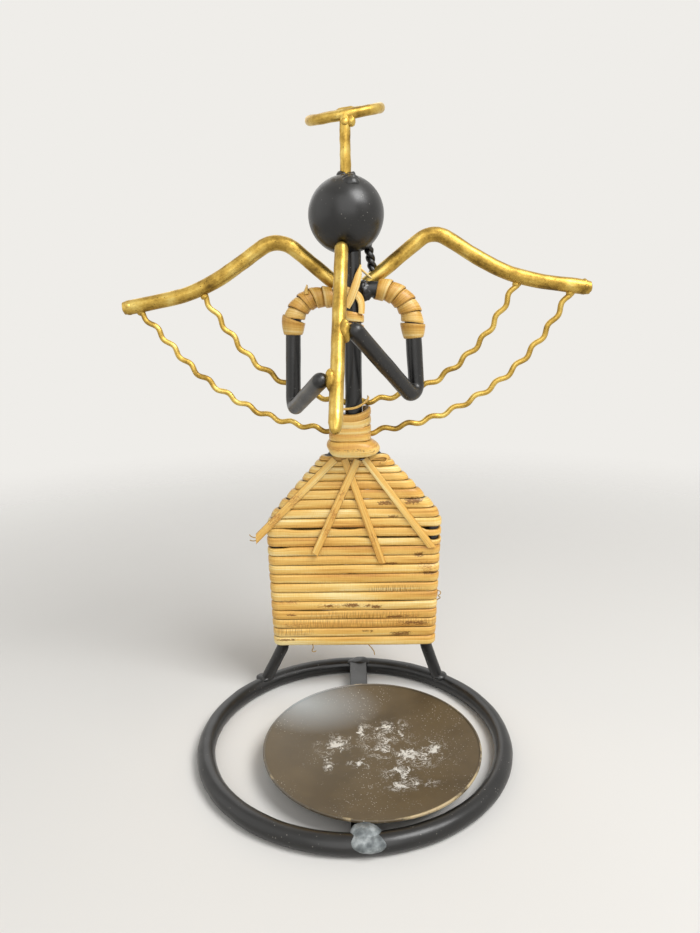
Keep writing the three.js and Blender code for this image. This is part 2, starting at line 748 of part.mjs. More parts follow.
// How far out a rod reaches at a height, swelled to a radius.
function frameReach(side, height, radius) {
  return frameOutlines[side].reduce((reach, { x, z }) => {
    const square = radius * radius - (height - z) * (height - z);
    return square > 0 ? Math.max(reach, sides[side] * (x - figureX) + Math.sqrt(square)) : reach;
  }, 0);
}
const skirtPitch = skirtStrip + skirtRowGap;
const skirtHem = hemHeight + hemLift;
const skirtRows = Math.floor((bandFoot - seatGap - skirtHem - skirtStrip) / skirtPitch);
const skirtCore = (frameBar / 2 + seatGap) / Math.cos(Math.PI / 8);
const skirtStations = [
  { end: 0, angle: -90 },
  ...[-90, -45, 0, 45, 90].map((angle) => ({ end: 1, angle })),
  { end: 0, angle: 90 },
  ...[90, 135, 180, 225, 270].map((angle) => ({ end: -1, angle })),
];
const perRow = skirtStations.length;
const climbStart = skirtStations.findIndex(({ end, angle }) => end === 1 && angle === 90);
function onSkirt(step, height, lift) {
  const { end, angle } = skirtStations[step % perRow];
  const radius = skirtCore + lift;
  const side = end < 0 ? "left" : "right";
  const half = frameOut(side, height);
  const bulge = frameReach(side, height, radius) - half;
  const turned = angle * degrees;
  return vec(
    figureX + end * half + Math.cos(turned) * bulge,
    frameY + Math.sin(turned) * radius,
    height,
  );
}
function skirtHeight(step) {
  const climb = Math.min(Math.max(((step % perRow) - climbStart) / 2, 0), 1);
  return skirtHem + skirtStrip / 2 + skirtPitch * (Math.floor(step / perRow) + climb);
}
const skirt = windStrip({
  name: "skirt_winding",
  place: onSkirt,
  steps: skirtRows * perRow,
  perTurn: perRow,
  along: skirtHeight,
  width: () => skirtStrip,
  thickness: skirtStripThickness,
});
addPiece("skirt_winding", skirt, rattan);

// Skirt straps: flat strips that fan out over the front of the winding, from under the band.
const strapY = frameY - skirtCore - skirtStripThickness - seatGap;
function strapGeometry({ top, foot, cut, layer }, extra) {
  const start = new THREE.Vector2(figureX + top[0], bandFoot - top[1]);
  const end = new THREE.Vector2(figureX + foot[0], bandFoot - foot[1]);
  const along = end.clone().sub(start).normalize();
  const across = new THREE.Vector2(-along.y, along.x).multiplyScalar(strapWidth / 2 + extra);
  const slant = across.length() / Math.tan(cut * degrees);
  const outline = [
    start.clone().add(across).addScaledVector(along, -extra),
    end.clone().add(across).addScaledVector(along, slant + extra),
    end.clone().sub(across).addScaledVector(along, -slant + extra),
    start.clone().sub(across).addScaledVector(along, -extra),
  ];
  const depth = strapThickness + 2 * extra;
  const front = strapY - layer * (strapThickness + seatGap) + extra;
  return new THREE.ExtrudeGeometry(new THREE.Shape(outline), { depth, bevelEnabled: false })
    .rotateX(Math.PI / 2)
    .translate(0, front, 0);
}
skirtStraps.forEach((strap, i) => {
  const over = skirtStraps.filter((other, k) => k > i && other.layer === strap.layer);
  const cutters = over.map((other) => strapGeometry(other, seatGap));
  addPiece("skirt_strap_" + (i + 1), carve(strapGeometry(strap, 0), cutters), paleRattan);
});

// Waist band: one wide bulging strip round the top of the frame, with its ends at the back.
const bandSection = [
  [-1, 0],
  [-0.35, bandBulge],
  [0.35, 0.75 * bandBulge],
  [1, 0],
  [1, bandThickness],
  [0.4, 0.75 * bandBulge + bandThickness],
  [-0.35, bandBulge + bandThickness],
  [-1, bandThickness],
];
const bandSteps = 22;
const bandRings = Array.from({ length: bandSteps + 1 }, (_, k) => {
  const angle = (90 + bandOpening / 2 + ((360 - bandOpening) * k) / bandSteps) * degrees;
  const foot = bandFoot + bandSideRise * Math.cos(angle) ** 2;
  return bandSection.map(([a, lift]) => {
    const height = foot + ((a + 1) / 2) * (bandTop - foot);
    const side = Math.cos(angle) < 0 ? "left" : "right";
    const rodReach = frameReach(side, height, frameBar / 2 + seatGap) + sides[side] * waistShift;
    return onWaist(angle, height, lift, Math.max(waistSide, rodReach + seatGap));
  });
});
addPiece("waist_band", skin(bandRings), rattan);

// Waist winding, above the band.
const waist = windStrip({
  name: "waist_winding",
  place: (step, height, lift) => onWaist(((step / waistSteps) * 2 + 0.5) * Math.PI, height, lift),
  steps: Math.round(waistTurns * waistSteps),
  perTurn: waistSteps,
  along: (step) => waistWindingFoot + (waistPitch * step) / waistSteps,
  width: () => waistStrip,
  thickness: waistStripThickness,
});
addPiece("waist_winding", waist, rattan);

// Chest winding: a wide top turn, then a narrower tail that runs down the spine.
const chestSteps = 12;
const chestCore = (spineBar / 2 + seatGap) / Math.cos(Math.PI / chestSteps);
const chestPitch = (chestStrip + chestTailStrip) / 2 + chestRowGap;
const chestWidth = (step) => {
  const share = Math.min(Math.max(step / chestSteps - 0.35, 0) / 0.65, 1);
  return chestStrip + (chestTailStrip - chestStrip) * share;
};
const chest = windStrip({
  name: "chest_winding",
  place: (step, height, lift) => {
    const angle = (2 * Math.PI * step) / chestSteps + Math.PI / 2;
    const radius = chestCore + lift;
    return vec(figureX + radius * Math.cos(angle), figureY + radius * Math.sin(angle), height);
  },
  steps: Math.round(chestTurns * chestSteps),
  perTurn: chestSteps,
  along: (step) => chestTop - chestStrip / 2 - (chestPitch * step) / chestSteps,
  width: chestWidth,
  thickness: chestStripThickness,
});
addPiece("chest_winding", chest, rattan);

// Chest straps: two strips that cross over the chest. The one in front ends in a pointed fold
// beside the neck, from which it turns back over the right shoulder.
const rearOrigin = vec(figureX, figureY - spineBar / 2 - seatGap, shoulderHeight - strapDrop);
const rearStrap = strip(rearStrapKnots, rearOrigin, strapThickness);
addPiece("chest_strap_left", carve(rearStrap, [armCutters.left, spineCutter]), paleRattan);
const frontOrigin = rearOrigin.clone().add(vec(0, -strapThickness - seatGap - strapLift, 0));
const frontLeg = strip(frontStrapKnots, frontOrigin, strapThickness);
const foldLeg = strip(foldKnots, frontOrigin, strapThickness);
const frontStrap = geometryOf(solidOf(frontLeg).add(solidOf(foldLeg)));
addPiece("chest_strap_right", carve(frontStrap, [armCutters.right, spineCutter]), paleRattan);

// Sleeves and cuffs: strips wound on the upper arms. A point on an arm is so far along its middle
// line, at an angle round it, and so far off its surface.
function onArm(side) {
  const path = armPath(side, 4);
  const marks = [0];
  path.slice(1).forEach((point, i) => marks.push(marks[i] + point.distanceTo(path[i])));
  const pointAt = (distance) => {
    const i = Math.max(1, marks.findIndex((mark) => mark >= distance));
    return path[i - 1].clone().lerp(path[i], (distance - marks[i - 1]) / (marks[i] - marks[i - 1]));
  };
  const feel = 0.8;
  const place = (angle, distance, lift) => {
    const direction = pointAt(distance + feel).sub(pointAt(distance - feel)).normalize();
    const rearward = vec(0, 1, 0);
    const inward = direction.clone().cross(rearward);
    const radius = arms[side].bar / 2 + lift;
    return pointAt(distance)
      .addScaledVector(inward, radius * Math.cos(angle))
      .addScaledVector(rearward, radius * Math.sin(angle));
  };
  const distanceAtHeight = (height) => {
    const i = path.findIndex((point, k) => k > 0 && point.z <= height && point.z < path[k - 1].z);
    const share = (path[i - 1].z - height) / (path[i - 1].z - path[i].z);
    return marks[i - 1] + share * (marks[i] - marks[i - 1]);
  };
  return { place, distanceAtHeight };
}
const sleeveSteps = 16;
const sleeveCore = seatGap + 0.1;
const shingledSection = [
  [-1, 0],
  [1, 0],
  [1, 1],
  [0.3, 0.95],
  [-0.5, 0.75],
  [-1, 0.5],
];
for (const [side, sign] of Object.entries(sides)) {
  const { place, distanceAtHeight } = onArm(side);
  const from = sleeveStarts[side];
  const cuffHeight = shoulderHeight - cuffs[side].drop;
  const cuffTop = distanceAtHeight(cuffHeight);
  const to = cuffTop - 2 * seatGap;
  const pitch = (to - from + sleeveRowGap) / (sleeveTurns + 1);
  const width = pitch - sleeveRowGap;
  const sleeve = windStrip({
    name: "sleeve_" + side,
    place: (step, distance, lift) =>
      place((sign * 2 * Math.PI * step) / sleeveSteps + Math.PI / 2, distance, sleeveCore + lift),
    steps: Math.round(sleeveTurns * sleeveSteps),
    perTurn: sleeveSteps,
    along: (step) => from + width / 2 + (pitch * step) / sleeveSteps,
    width: () => width,
    thickness: sleeveStripThickness,
    section: shingledSection,
  });
  addPiece("sleeve_" + side, sleeve, rattan);

  const cuffFoot = distanceAtHeight(cuffHeight - cuffs[side].height);
  const cuffRings = Array.from({ length: 21 }, (_, k) => {
    const angle = (90 + cuffOpening / 2 + ((360 - cuffOpening) * k) / 20) * degrees;
    return [
      place(angle, cuffFoot, sleeveCore),
      place(angle, cuffFoot, sleeveCore + cuffThickness),
      place(angle, (cuffFoot + cuffTop) / 2, sleeveCore + cuffThickness + 0.65 * cuffFlare),
      place(angle, cuffTop, sleeveCore + cuffThickness + cuffFlare),
      place(angle, cuffTop, sleeveCore + cuffFlare),
      place(angle, (cuffFoot + cuffTop) / 2, sleeveCore + 0.65 * cuffFlare),
    ];
  });
  addPiece("cuff_" + side, skin(cuffRings), rattan);
}

// The origin lies under the middle of the whole model.
const box = new THREE.Box3().setFromObject(holder);
const middle = box.getCenter(vec(0, 0, 0));
holder.position.set(-middle.x, -middle.y, -box.min.z);

export default holder;
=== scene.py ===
import math
from bisect import bisect_left
from functools import partial

import bmesh
import bpy
from mathutils import Matrix, Quaternion, Vector, noise


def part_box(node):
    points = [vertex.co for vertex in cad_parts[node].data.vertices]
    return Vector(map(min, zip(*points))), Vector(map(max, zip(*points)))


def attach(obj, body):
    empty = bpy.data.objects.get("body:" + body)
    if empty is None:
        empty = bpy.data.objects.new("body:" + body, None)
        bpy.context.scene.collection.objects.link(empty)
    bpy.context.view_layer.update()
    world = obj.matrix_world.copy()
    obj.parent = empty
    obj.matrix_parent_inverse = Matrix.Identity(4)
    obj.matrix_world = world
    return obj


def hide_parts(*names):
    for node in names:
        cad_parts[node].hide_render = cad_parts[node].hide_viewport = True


# An angel of bent iron rods and wound rattan behind a drip pan. Every piece is drawn in
# millimetres round the middle of the ring, and toFrame puts it where the CAD part has it.
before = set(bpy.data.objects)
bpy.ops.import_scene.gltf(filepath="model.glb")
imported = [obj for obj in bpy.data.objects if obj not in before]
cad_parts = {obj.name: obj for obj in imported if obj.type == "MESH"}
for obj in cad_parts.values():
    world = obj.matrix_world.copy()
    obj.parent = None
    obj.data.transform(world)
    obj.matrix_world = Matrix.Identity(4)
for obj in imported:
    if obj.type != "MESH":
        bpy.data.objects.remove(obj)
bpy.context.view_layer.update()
ringLow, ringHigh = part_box("base_ring")
ringMiddle = (ringLow + ringHigh) / 2
toFrame = Matrix.Translation((ringMiddle.x, ringMiddle.y, 0)) @ Matrix.Scale(0.001, 4)
degrees = math.pi / 180
sides = {"Left": -1, "Right": 1}
seatGap = 0.3  # between pieces that lie on each other, as the CAD part has it


def middleOf(node):
    low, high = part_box(node)
    return toFrame.inverted() @ ((low + high) / 2)


# Camera: at the photograph's place, found from the ring, the rods and the figure
view = {
    "at": (-0.603, -287.966, 194.568),
    "pitch": 12.41,
    "roll": -0.70,
    "focalPixels": 700,
    "pictureHeight": 933,
    "sensor": 36,
}
cameraData = bpy.data.cameras.new("camera")
cameraData.sensor_width = view["sensor"]
cameraData.lens = view["sensor"] * view["focalPixels"] / view["pictureHeight"]
cameraData.clip_start = 0.01
camera = bpy.data.objects.new("camera", cameraData)
bpy.context.collection.objects.link(camera)
camera.matrix_world = (
    Matrix.Translation(toFrame @ Vector(view["at"]))
    @ Matrix.Rotation((90 - view["pitch"]) * degrees, 4, "X")
    @ Matrix.Rotation(view["roll"] * degrees, 4, "Z")
)
bpy.context.scene.camera = camera
bpy.context.scene.view_settings.view_transform = "Standard"

# Lamps: the key stands high in front to the right and makes the highlights of the head, the ring and
# the pan. A big soft one stands in front, and weak ones to the left and behind.
lamps = {
    "key": {"at": (0.56, -0.42, 1.0), "size": 0.56, "power": 10.8},
    "front": {"at": (0.05, -1.15, 0.7), "size": 1.3, "power": 6.9},
    "leftSide": {"at": (-0.95, -0.25, 0.55), "size": 1.1, "power": 1.8},
    "behind": {"at": (-0.2, 0.9, 0.8), "size": 0.8, "power": 1.6},
}
lampTarget = Vector((0, 0, 0.12))
for name, lamp in lamps.items():
    data = bpy.data.lights.new(name, "AREA")
    data.size = lamp["size"]
    data.energy = lamp["power"]
    light = bpy.data.objects.new(name, data)
    light.location = lamp["at"]
    light.rotation_euler = (lampTarget - light.location).to_track_quat("-Z", "Y").to_euler()
    bpy.context.collection.objects.link(light)
print("camera and lamps are up")


# Materials
def linear(hexCode):
    channels = [int(hexCode[i : i + 2], 16) / 255 for i in (0, 2, 4)]
    return [c / 12.92 if c <= 0.04045 else ((c + 0.055) / 1.055) ** 2.4 for c in channels] + [1]


# Sets a node's properties and inputs. A value may be another node's output, and a ramp has stops.
def setNode(node, values):
    for key, value in values.items():
        if key == "stops":
            ramp = node.color_ramp.elements
            while len(ramp) < len(value):
                ramp.new(1)
            for stop, (position, colour) in zip(ramp, value):
                stop.position = position
                stop.color = linear(colour)
        elif isinstance(value, bpy.types.NodeSocket):
            node.id_data.links.new(value, node.inputs[key])
        elif isinstance(key, str) and hasattr(node, key):
            setattr(node, key, value)
        else:
            node.inputs[key].default_value = value


# Adds a node and gives back one of its outputs, the first if none is named
def addNode(tree, kind, values, output=0):
    node = tree.nodes.new("ShaderNode" + kind)
    setNode(node, values)
    return node.outputs[output]


# A new material, the call that adds a node to it, and its shader
def newMaterial(name):
    material = bpy.data.materials.new(name)
    material.use_nodes = True
    tree = material.node_tree
    return material, partial(addNode, tree), tree.nodes["Principled BSDF"]


def perMm(period):
    return 1000 / period  # texture scale on Object coordinates, which are metres


# Lays a colour over another, more and more as a value runs from low to high, up to a share
def laidOver(add, under, hexCode, value, low, high, share):
    cover = add("MapRange", {"Value": value, "From Min": low, "From Max": high, "To Max": share})
    return add("Mix", {"data_type": "RGBA", 0: cover, 6: under, 7: linear(hexCode)}, 2)


# Satin black enamel brushed on forged iron: near black, a broad dim sheen, dust and fine orange peel
def makeBlackEnamel():
    material, add, shader = newMaterial("blackEnamel")
    place = add("TexCoord", {}, "Object")
    cloud = add("TexNoise", {"Vector": place, "Scale": perMm(11), "Detail": 5})
    peel = add("TexNoise", {"Vector": place, "Scale": perMm(1.3), "Detail": 3})
    dust = add("TexVoronoi", {"Vector": place, "Scale": perMm(1.9)})
    specks = add("MapRange", {"Value": dust, "From Min": 0.16, "From Max": 0.07})
    patches = add("MapRange", {"Value": cloud, "From Min": 0.47, "From Max": 0.66, "To Max": 0.7})
    dusty = add("Math", {"operation": "MULTIPLY", 0: specks, 1: patches})
    body = add("ValToRGB", {"Fac": cloud, "stops": [(0.3, "060606"), (0.7, "100f0e")]})
    sheen = {"Value": cloud, "From Min": 0.3, "From Max": 0.7, "To Min": 0.29, "To Max": 0.42}
    finish = {
        "Base Color": add("Mix", {"data_type": "RGBA", 0: dusty, 6: body, 7: linear("a09c94")}, 2),
        "Roughness": add("MapRange", sheen),
        "Normal": add("Bump", {"Height": peel, "Strength": 0.15, "Distance": 0.0002}),
        "Specular IOR Level": 0.5,
        "Coat Weight": 0.15,
        "Coat Roughness": 0.25,
    }
    setNode(shader, finish)
    return material


# Bronze powder paint on the rods: bright where it is thick, brown in the pits, with faint brush marks
def makeGoldPaint():
    material, add, shader = newMaterial("bronzePowderPaint")
    place = add("TexCoord", {}, "Object")
    flat = add("Attribute", {"attribute_name": "flat"}, "Vector")
    drawn = add("Mapping", {"Vector": flat, "Scale": (0.12, 0.8, 0.8)})  # strokes 8 mm long
    brushed = add("TexNoise", {"Vector": drawn, "Scale": 1, "Detail": 5})
    cloud = add("TexNoise", {"Vector": place, "Scale": perMm(9), "Detail": 4})
    grit = add("TexNoise", {"Vector": place, "Scale": perMm(1.1), "Detail": 5, "Roughness": 0.6})
    pits = add("TexVoronoi", {"Vector": place, "Scale": perMm(2.6)})
    layered = add("Math", {"operation": "MULTIPLY_ADD", 0: brushed, 1: 0.35, 2: cloud})
    worn = add("Math", {"operation": "MULTIPLY_ADD", 0: grit, 1: 0.28, 2: layered})
    shade = add("Math", {"operation": "MULTIPLY", 0: worn, 1: 0.61})
    golds = [(0.34, "6b5220"), (0.43, "a28136"), (0.52, "c7a44d"), (0.64, "e2c670")]
    painted = add("ValToRGB", {"Fac": shade, "stops": golds})
    sheen = {"Value": shade, "From Min": 0.38, "From Max": 0.58, "To Min": 0.5, "To Max": 0.32}
    finish = {
        "Base Color": laidOver(add, painted, "47340f", pits, 0.13, 0.05, 0.8),
        "Metallic": 0.8,
        "Roughness": add("MapRange", sheen),
        "Normal": add("Bump", {"Height": worn, "Strength": 0.18, "Distance": 0.0002}),
    }
    setNode(shader, finish)
    return material


# Bare weld metal: dull pale grey, crusty and rippled
def makeBareWeld():
    material, add, shader = newMaterial("bareWeldMetal")
    place = add("TexCoord", {}, "Object")
    cloud = add("TexNoise", {"Vector": place, "Scale": perMm(3), "Detail": 6})
    crust = add("TexNoise", {"Vector": place, "Scale": perMm(1.4), "Detail": 7, "Roughness": 0.65})
    greys = [(0.32, "4f5456"), (0.5, "757b7c"), (0.66, "a0a5a6")]
    finish = {
        "Base Color": add("ValToRGB", {"Fac": cloud, "stops": greys}),
        "Metallic": 0.25,
        "Roughness": 0.55,
        "Normal": add("Bump", {"Height": crust, "Strength": 0.5, "Distance": 0.0003}),
    }
    setNode(shader, finish)
    return material


# Lacquered sheet iron: brown black and satin, with a painted grey sheen towards the left and back (a
# painted reflection), rubbed wax in smears and fine strokes, specks, and an edge worn bright at wornAt
def makePanSheet(centre, radius, wornAt, paintedSheens, waxPlaces):
    material, add, shader = newMaterial("lacqueredSheet")
    place = add("TexCoord", {}, "Object")

    # How far a point is from a spot, level with the ground, as a share of the spot's reach
    def farFrom(spot, reach):
        moved = add("VectorMath", {"operation": "SUBTRACT", 0: place, 1: spot})
        stretched = [1 / reach[0], 1 / reach[1], 0]
        level = add("VectorMath", {"operation": "MULTIPLY", 0: moved, 1: stretched})
        return add("VectorMath", {"operation": "LENGTH", 0: level}, "Value")

    streaky = {"Vector": place, "Scale": perMm(4), "Detail": 10, "Roughness": 0.76, "Distortion": 0.8}
    smear = add("TexNoise", streaky)
    curly = {"Vector": place, "Scale": perMm(3.4), "Detail": 6, "Roughness": 0.6, "Distortion": 1.4}
    offRidge = add("Math", {"operation": "SUBTRACT", 0: add("TexNoise", curly), 1: 0.5})
    ridge = add("Math", {"operation": "ABSOLUTE", 0: offRidge})
    stroke = add("MapRange", {"Value": ridge, "From Min": 0.03, "From Max": 0.008, "To Max": 0.75})
    rubbed = smear
    strokes = 0
    for spot, reach in waxPlaces:
        near = farFrom(spot, reach)
        thick = add("MapRange", {"Value": near, "From Min": 1.3, "From Max": 0.2, "To Max": 0.23})
        thickened = add("Math", {"operation": "ADD", 0: smear, 1: thick})
        rubbed = add("Math", {"operation": "MAXIMUM", 0: rubbed, 1: thickened})
        within = add("MapRange", {"Value": near, "From Min": 1.5, "From Max": 0.9})
        stroked = add("Math", {"operation": "MULTIPLY", 0: stroke, 1: within})
        strokes = add("Math", {"operation": "MAXIMUM", 0: strokes, 1: stroked})
    breaks = add("TexNoise", {"Vector": place, "Scale": perMm(6), "Detail": 3})
    unbroken = add("MapRange", {"Value": breaks, "From Min": 0.46, "From Max": 0.56})
    broken = add("Math", {"operation": "MULTIPLY", 0: strokes, 1: unbroken})
    smears = add("MapRange", {"Value": rubbed, "From Min": 0.68, "From Max": 0.74, "To Max": 0.92})
    wax = add("Math", {"operation": "MAXIMUM", 0: smears, 1: broken})
    dots = add("TexVoronoi", {"Vector": place, "Scale": perMm(1.2)})
    specks = add("MapRange", {"Value": dots, "From Min": 0.2, "From Max": 0.08, "To Max": 0.7})
    clusters = add("TexNoise", {"Vector": place, "Scale": perMm(14), "Detail": 3})
    speckled = add("MapRange", {"Value": clusters, "From Min": 0.45, "From Max": 0.62})
    fewSpecks = add("Math", {"operation": "MULTIPLY", 0: specks, 1: speckled})
    marks = add("Math", {"operation": "MAXIMUM", 0: wax, 1: fewSpecks})

    out = farFrom(centre, (1, 1))
    rim = add("MapRange", {"Value": out, "From Min": 0.984 * radius, "From Max": 0.989 * radius})
    chips = add("TexNoise", {"Vector": place, "Scale": perMm(9), "Detail": 6, "Roughness": 0.6})
    nearWorn = farFrom(wornAt, (0.05, 0.03))
    handled = add("MapRange", {"Value": nearWorn, "From Min": 1.4, "From Max": 0.3, "To Max": 0.2})
    worn = add("Math", {"operation": "ADD", 0: chips, 1: handled})
    wornOff = add("MapRange", {"Value": worn, "From Min": 0.58, "From Max": 0.7, "To Max": 0.85})
    bare = add("Math", {"operation": "MULTIPLY", 0: rim, 1: wornOff})

    clouds = add("TexNoise", {"Vector": place, "Scale": perMm(22), "Detail": 4})
    colour = add("ValToRGB", {"Fac": clouds, "stops": [(0.35, "453a29"), (0.6, "5b4e39")]})
    # painted sheen: a painted reflection, lighter grey towards the left and back of the pan
    for spot, reach, share, tint in paintedSheens:
        colour = laidOver(add, colour, tint, farFrom(spot, reach), 1.5, 0.1, share)
    colour = add("Mix", {"data_type": "RGBA", 0: bare, 6: colour, 7: linear("cdb88f")}, 2)
    colour = add("Mix", {"data_type": "RGBA", 0: marks, 6: colour, 7: linear("e3e0d8")}, 2)
    finish = {
        "Base Color": colour,
        "Roughness": add("MapRange", {"Value": marks, "To Min": 0.38, "To Max": 0.65}),
        "Normal": add("Bump", {"Height": marks, "Strength": 0.35, "Distance": 0.0002}),
    }
    setNode(shader, finish)
    return material


# Split rattan: glossy tan skin with fibres along the strip, painted shade low on each strip's section,
# at its edges and in the grooves between the turns, and brown flecks. The pattern follows the strip
# through its flat coordinates: mm along and across it, and how high on its section. The marks attribute
# says where knots, cross ticks and stains lie.
def makeRattan(name, tans, fleck, fleckShare, seed):
    material, add, shader = newMaterial(name)
    flat = add("Attribute", {"attribute_name": "flat"}, "Vector")
    marked = add("Attribute", {"attribute_name": "marks"}, "Vector")
    knots, crossTicks, stains = add("SeparateXYZ", {"Vector": marked}).node.outputs
    depth = add("SeparateXYZ", {"Vector": flat}, "Z")

    # Noise with its scale along the strip, across it and through it, per mm: 2.4 across makes fibres
    # that lie 0.4 mm apart
    def noiseAlong(scale, detail, rough=0.5):
        place = add("Mapping", {"Vector": flat, "Scale": scale, "Location": (seed, 0, 0)})
        return add("TexNoise", {"Vector": place, "Scale": 1, "Detail": detail, "Roughness": rough})

    fibres = noiseAlong((0.03, 2.4, 0.3), 5)
    tone = noiseAlong((0.012, 0.12, 0.1), 4)
    grain = noiseAlong((0.5, 1.6, 0.5), 6, 0.65)
    speckle = noiseAlong((0.9, 2.2, 0.5), 6, 0.7)
    ticks = noiseAlong((2.1, 0.12, 0), 2)
    streaks = add("Math", {"operation": "MULTIPLY_ADD", 0: fibres, 1: 0.6, 2: tone})
    crossed = add("Math", {"operation": "MULTIPLY_ADD", 0: ticks, 1: 0.16, 2: streaks})
    shade = add("Math", {"operation": "MULTIPLY", 0: crossed, 1: 0.57})
    colour = add("ValToRGB", {"Fac": shade, "stops": list(zip((0.36, 0.45, 0.53, 0.62), tans))})
    stained = add("Math", {"operation": "MULTIPLY_ADD", 0: stains, 1: 0.24, 2: speckle})
    colour = laidOver(add, colour, "a65f18", stained, 0.68, 0.82, 0.7)
    tickLines = add("MapRange", {"Value": ticks, "From Min": 0.47, "From Max": 0.55, "To Max": 0.8})
    ticked = add("Math", {"operation": "MULTIPLY", 0: crossTicks, 1: tickLines})
    colour = add("Mix", {"data_type": "RGBA", 0: ticked, 6: colour, 7: linear("a9722c")}, 2)
    colour = laidOver(add, colour, fleck, grain, fleckShare, fleckShare + 0.07, 0.8)
    knotted = add("Math", {"operation": "MULTIPLY_ADD", 0: knots, 1: 0.34, 2: speckle})
    colour = laidOver(add, colour, "7a4a0c", knotted, 0.7, 0.77, 0.9)
    # painted shade: darker brown low on each strip's section, at its edges and in the grooves between turns
    colour = laidOver(add, colour, "4d2e10", depth, 0.8, 0.3, 0.62)
    sheen = {"Value": fibres, "From Min": 0.3, "From Max": 0.7, "To Min": 0.36, "To Max": 0.55}
    finish = {
        "Base Color": colour,
        "Roughness": add("MapRange", sheen),
        "Normal": add("Bump", {"Height": fibres, "Strength": 0.4, "Distance": 0.0003}),
        "Coat Weight": 0.2,
        "Coat Roughness": 0.28,
    }
    setNode(shader, finish)
    return material


pan = {
    "radius": 47.3,
    "floorRadius": 22,
    "depth": 5.2,
    "lip": 1.3,
    "lipEdge": 0.3,
    "lipRound": 0.25,
    "sheet": 1,
    "across": 5,
    "forward": 14.9,
    "arcSteps": 14,
    "spinSteps": 120,
    "wornAt": (42, -46),
}
# Wax and painted sheen, each from the middle of the ring, with half its width and depth
panWax = (
    ((-7.5, -11), (8, 7)),
    ((3, 0), (3, 8)),
    ((14, 1), (9, 6)),
    ((22, -4), (3.5, 8)),
    ((12.5, -12), (7, 8)),
    ((25, -18.5), (13, 7)),
    ((35, -15), (4, 8)),
    ((3, -24), (5, 3)),
    ((19.5, -29.5), (7, 6)),
    ((21, -38), (11, 3)),
    ((-11, -22), (3, 6)),
)
# painted sheen, a painted reflection: lighter grey over the left and back of the pan
paintedPanSheens = (
    ((-30, -4), (46, 50), 0.3, "8f8c85"),
    ((-25, 17), (26, 14), 0.85, "adb3b6"),
)


def onPan(spot):
    return toFrame @ Vector((*spot, 0))


waxPlaces = [(onPan(spot), (across / 1000, deep / 1000)) for spot, (across, deep) in panWax]
paintedSheens = [(onPan(spot), (across / 1000, deep / 1000), *rest) for spot, (across, deep), *rest in paintedPanSheens]
panMiddle = toFrame @ middleOf("drip_pan")
panSheet = makePanSheet(panMiddle, pan["radius"] / 1000, onPan(pan["wornAt"]), paintedSheens, waxPlaces)
blackEnamel = makeBlackEnamel()
goldPaint = makeGoldPaint()
bareWeld = makeBareWeld()
rattan = makeRattan("splitRattan", ("b87c30", "e2ab4e", "f3c96e", "fdeaac"), "6b3f17", 0.7, 0)
paleRattan = makeRattan("paleSplitRattan", ("be832e", "e6ae50", "f5c96e", "fde6a2"), "8a5a25", 0.74, 40)
agedRattan = makeRattan("agedSplitRattan", ("9c6722", "cc973d", "dfb45c", "f0d493"), "5c3413", 0.66, 70)
print("materials are mixed")


# Shapes
creaseAngle = 35 * degrees  # edges that bend more than this stay sharp


# A grid rolled into a tube. place(step, k) gives each corner's point and its flat coordinates.
def rolledSkin(steps, around, place, endless=False):
    bm = bmesh.new()
    flat = bm.verts.layers.float_vector.new("flat")
    bmesh.ops.create_grid(bm, x_segments=steps, y_segments=around, size=0.5)
    for vert in bm.verts:
        step = round((vert.co.x + 0.5) * steps)
        side = round((vert.co.y + 0.5) * around) % around
        vert.co, vert[flat] = place(step % steps if endless else step, side)
    bmesh.ops.remove_doubles(bm, verts=bm.verts, dist=1e-4)
    if not endless:
        bmesh.ops.holes_fill(bm, edges=bm.edges, sides=0)
    bmesh.ops.recalc_face_normals(bm, faces=bm.faces)
    return bm


# Lumps and hollows on a surface, up to height mm, each about grain mm across
def roughen(bm, height, grain, seed=0):
    bm.normal_update()
    for vert in bm.verts:
        vert.co += vert.normal * height * noise.noise(vert.co / grain + Vector((seed, 0, 0)))


def joined(bm, *others):
    for other in others:
        mesh = bpy.data.meshes.new("joined")
        other.to_mesh(mesh)
        other.free()
        bm.from_mesh(mesh)
        bpy.data.meshes.remove(mesh)
    return bm


def addPiece(name, bm, material, nodes=()):
    bmesh.ops.transform(bm, matrix=toFrame, verts=bm.verts)
    mesh = bpy.data.meshes.new(name)
    bm.to_mesh(mesh)
    bm.free()
    mesh.materials.append(material)
    mesh.shade_smooth()
    mesh.set_sharp_from_angle(angle=creaseAngle)
    piece = bpy.data.objects.new(name, mesh)
    bpy.context.collection.objects.link(piece)
    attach(piece, "root")
    if nodes:
        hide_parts(*nodes)


# A rod's middle line: straight runs, with an arc at each inner corner. An arc takes up to 0.9 of an
# end run, and up to 0.48 of a run that it shares with another arc.
def bentRoute(corners, bends, step=4, spacing=3):
    corners = [Vector(corner) for corner in corners]
    route = [corners[0]]
    for before, corner, after, bend in zip(corners, corners[1:], corners[2:], bends):
        back, ahead = before - corner, after - corner
        backShare = 0.9 if before is corners[0] else 0.48
        aheadShare = 0.9 if after is corners[-1] else 0.48
        room = min(backShare * back.length, aheadShare * ahead.length)
        back.normalize()
        ahead.normalize()
        turn = math.pi - back.angle(ahead)
        setback = min(bend * math.tan(turn / 2), room)
        radius = setback / math.tan(turn / 2)
        centre = corner + (back + ahead).normalized() * radius / math.cos(turn / 2)
        arm = corner + back * setback - centre
        axis = ahead.cross(back)
        count = max(1, round(turn / (step * degrees)))
        route += [centre + Quaternion(axis, turn * k / count) @ arm for k in range(count + 1)]
    route.append(corners[-1])
    return subdivided(route, spacing)


def subdivided(route, spacing):
    fine = []
    for start, end in zip(route, route[1:]):
        count = max(1, round((end - start).length / spacing))
        fine += [start.lerp(end, k / count) for k in range(count)]
    return fine + [route[-1]]


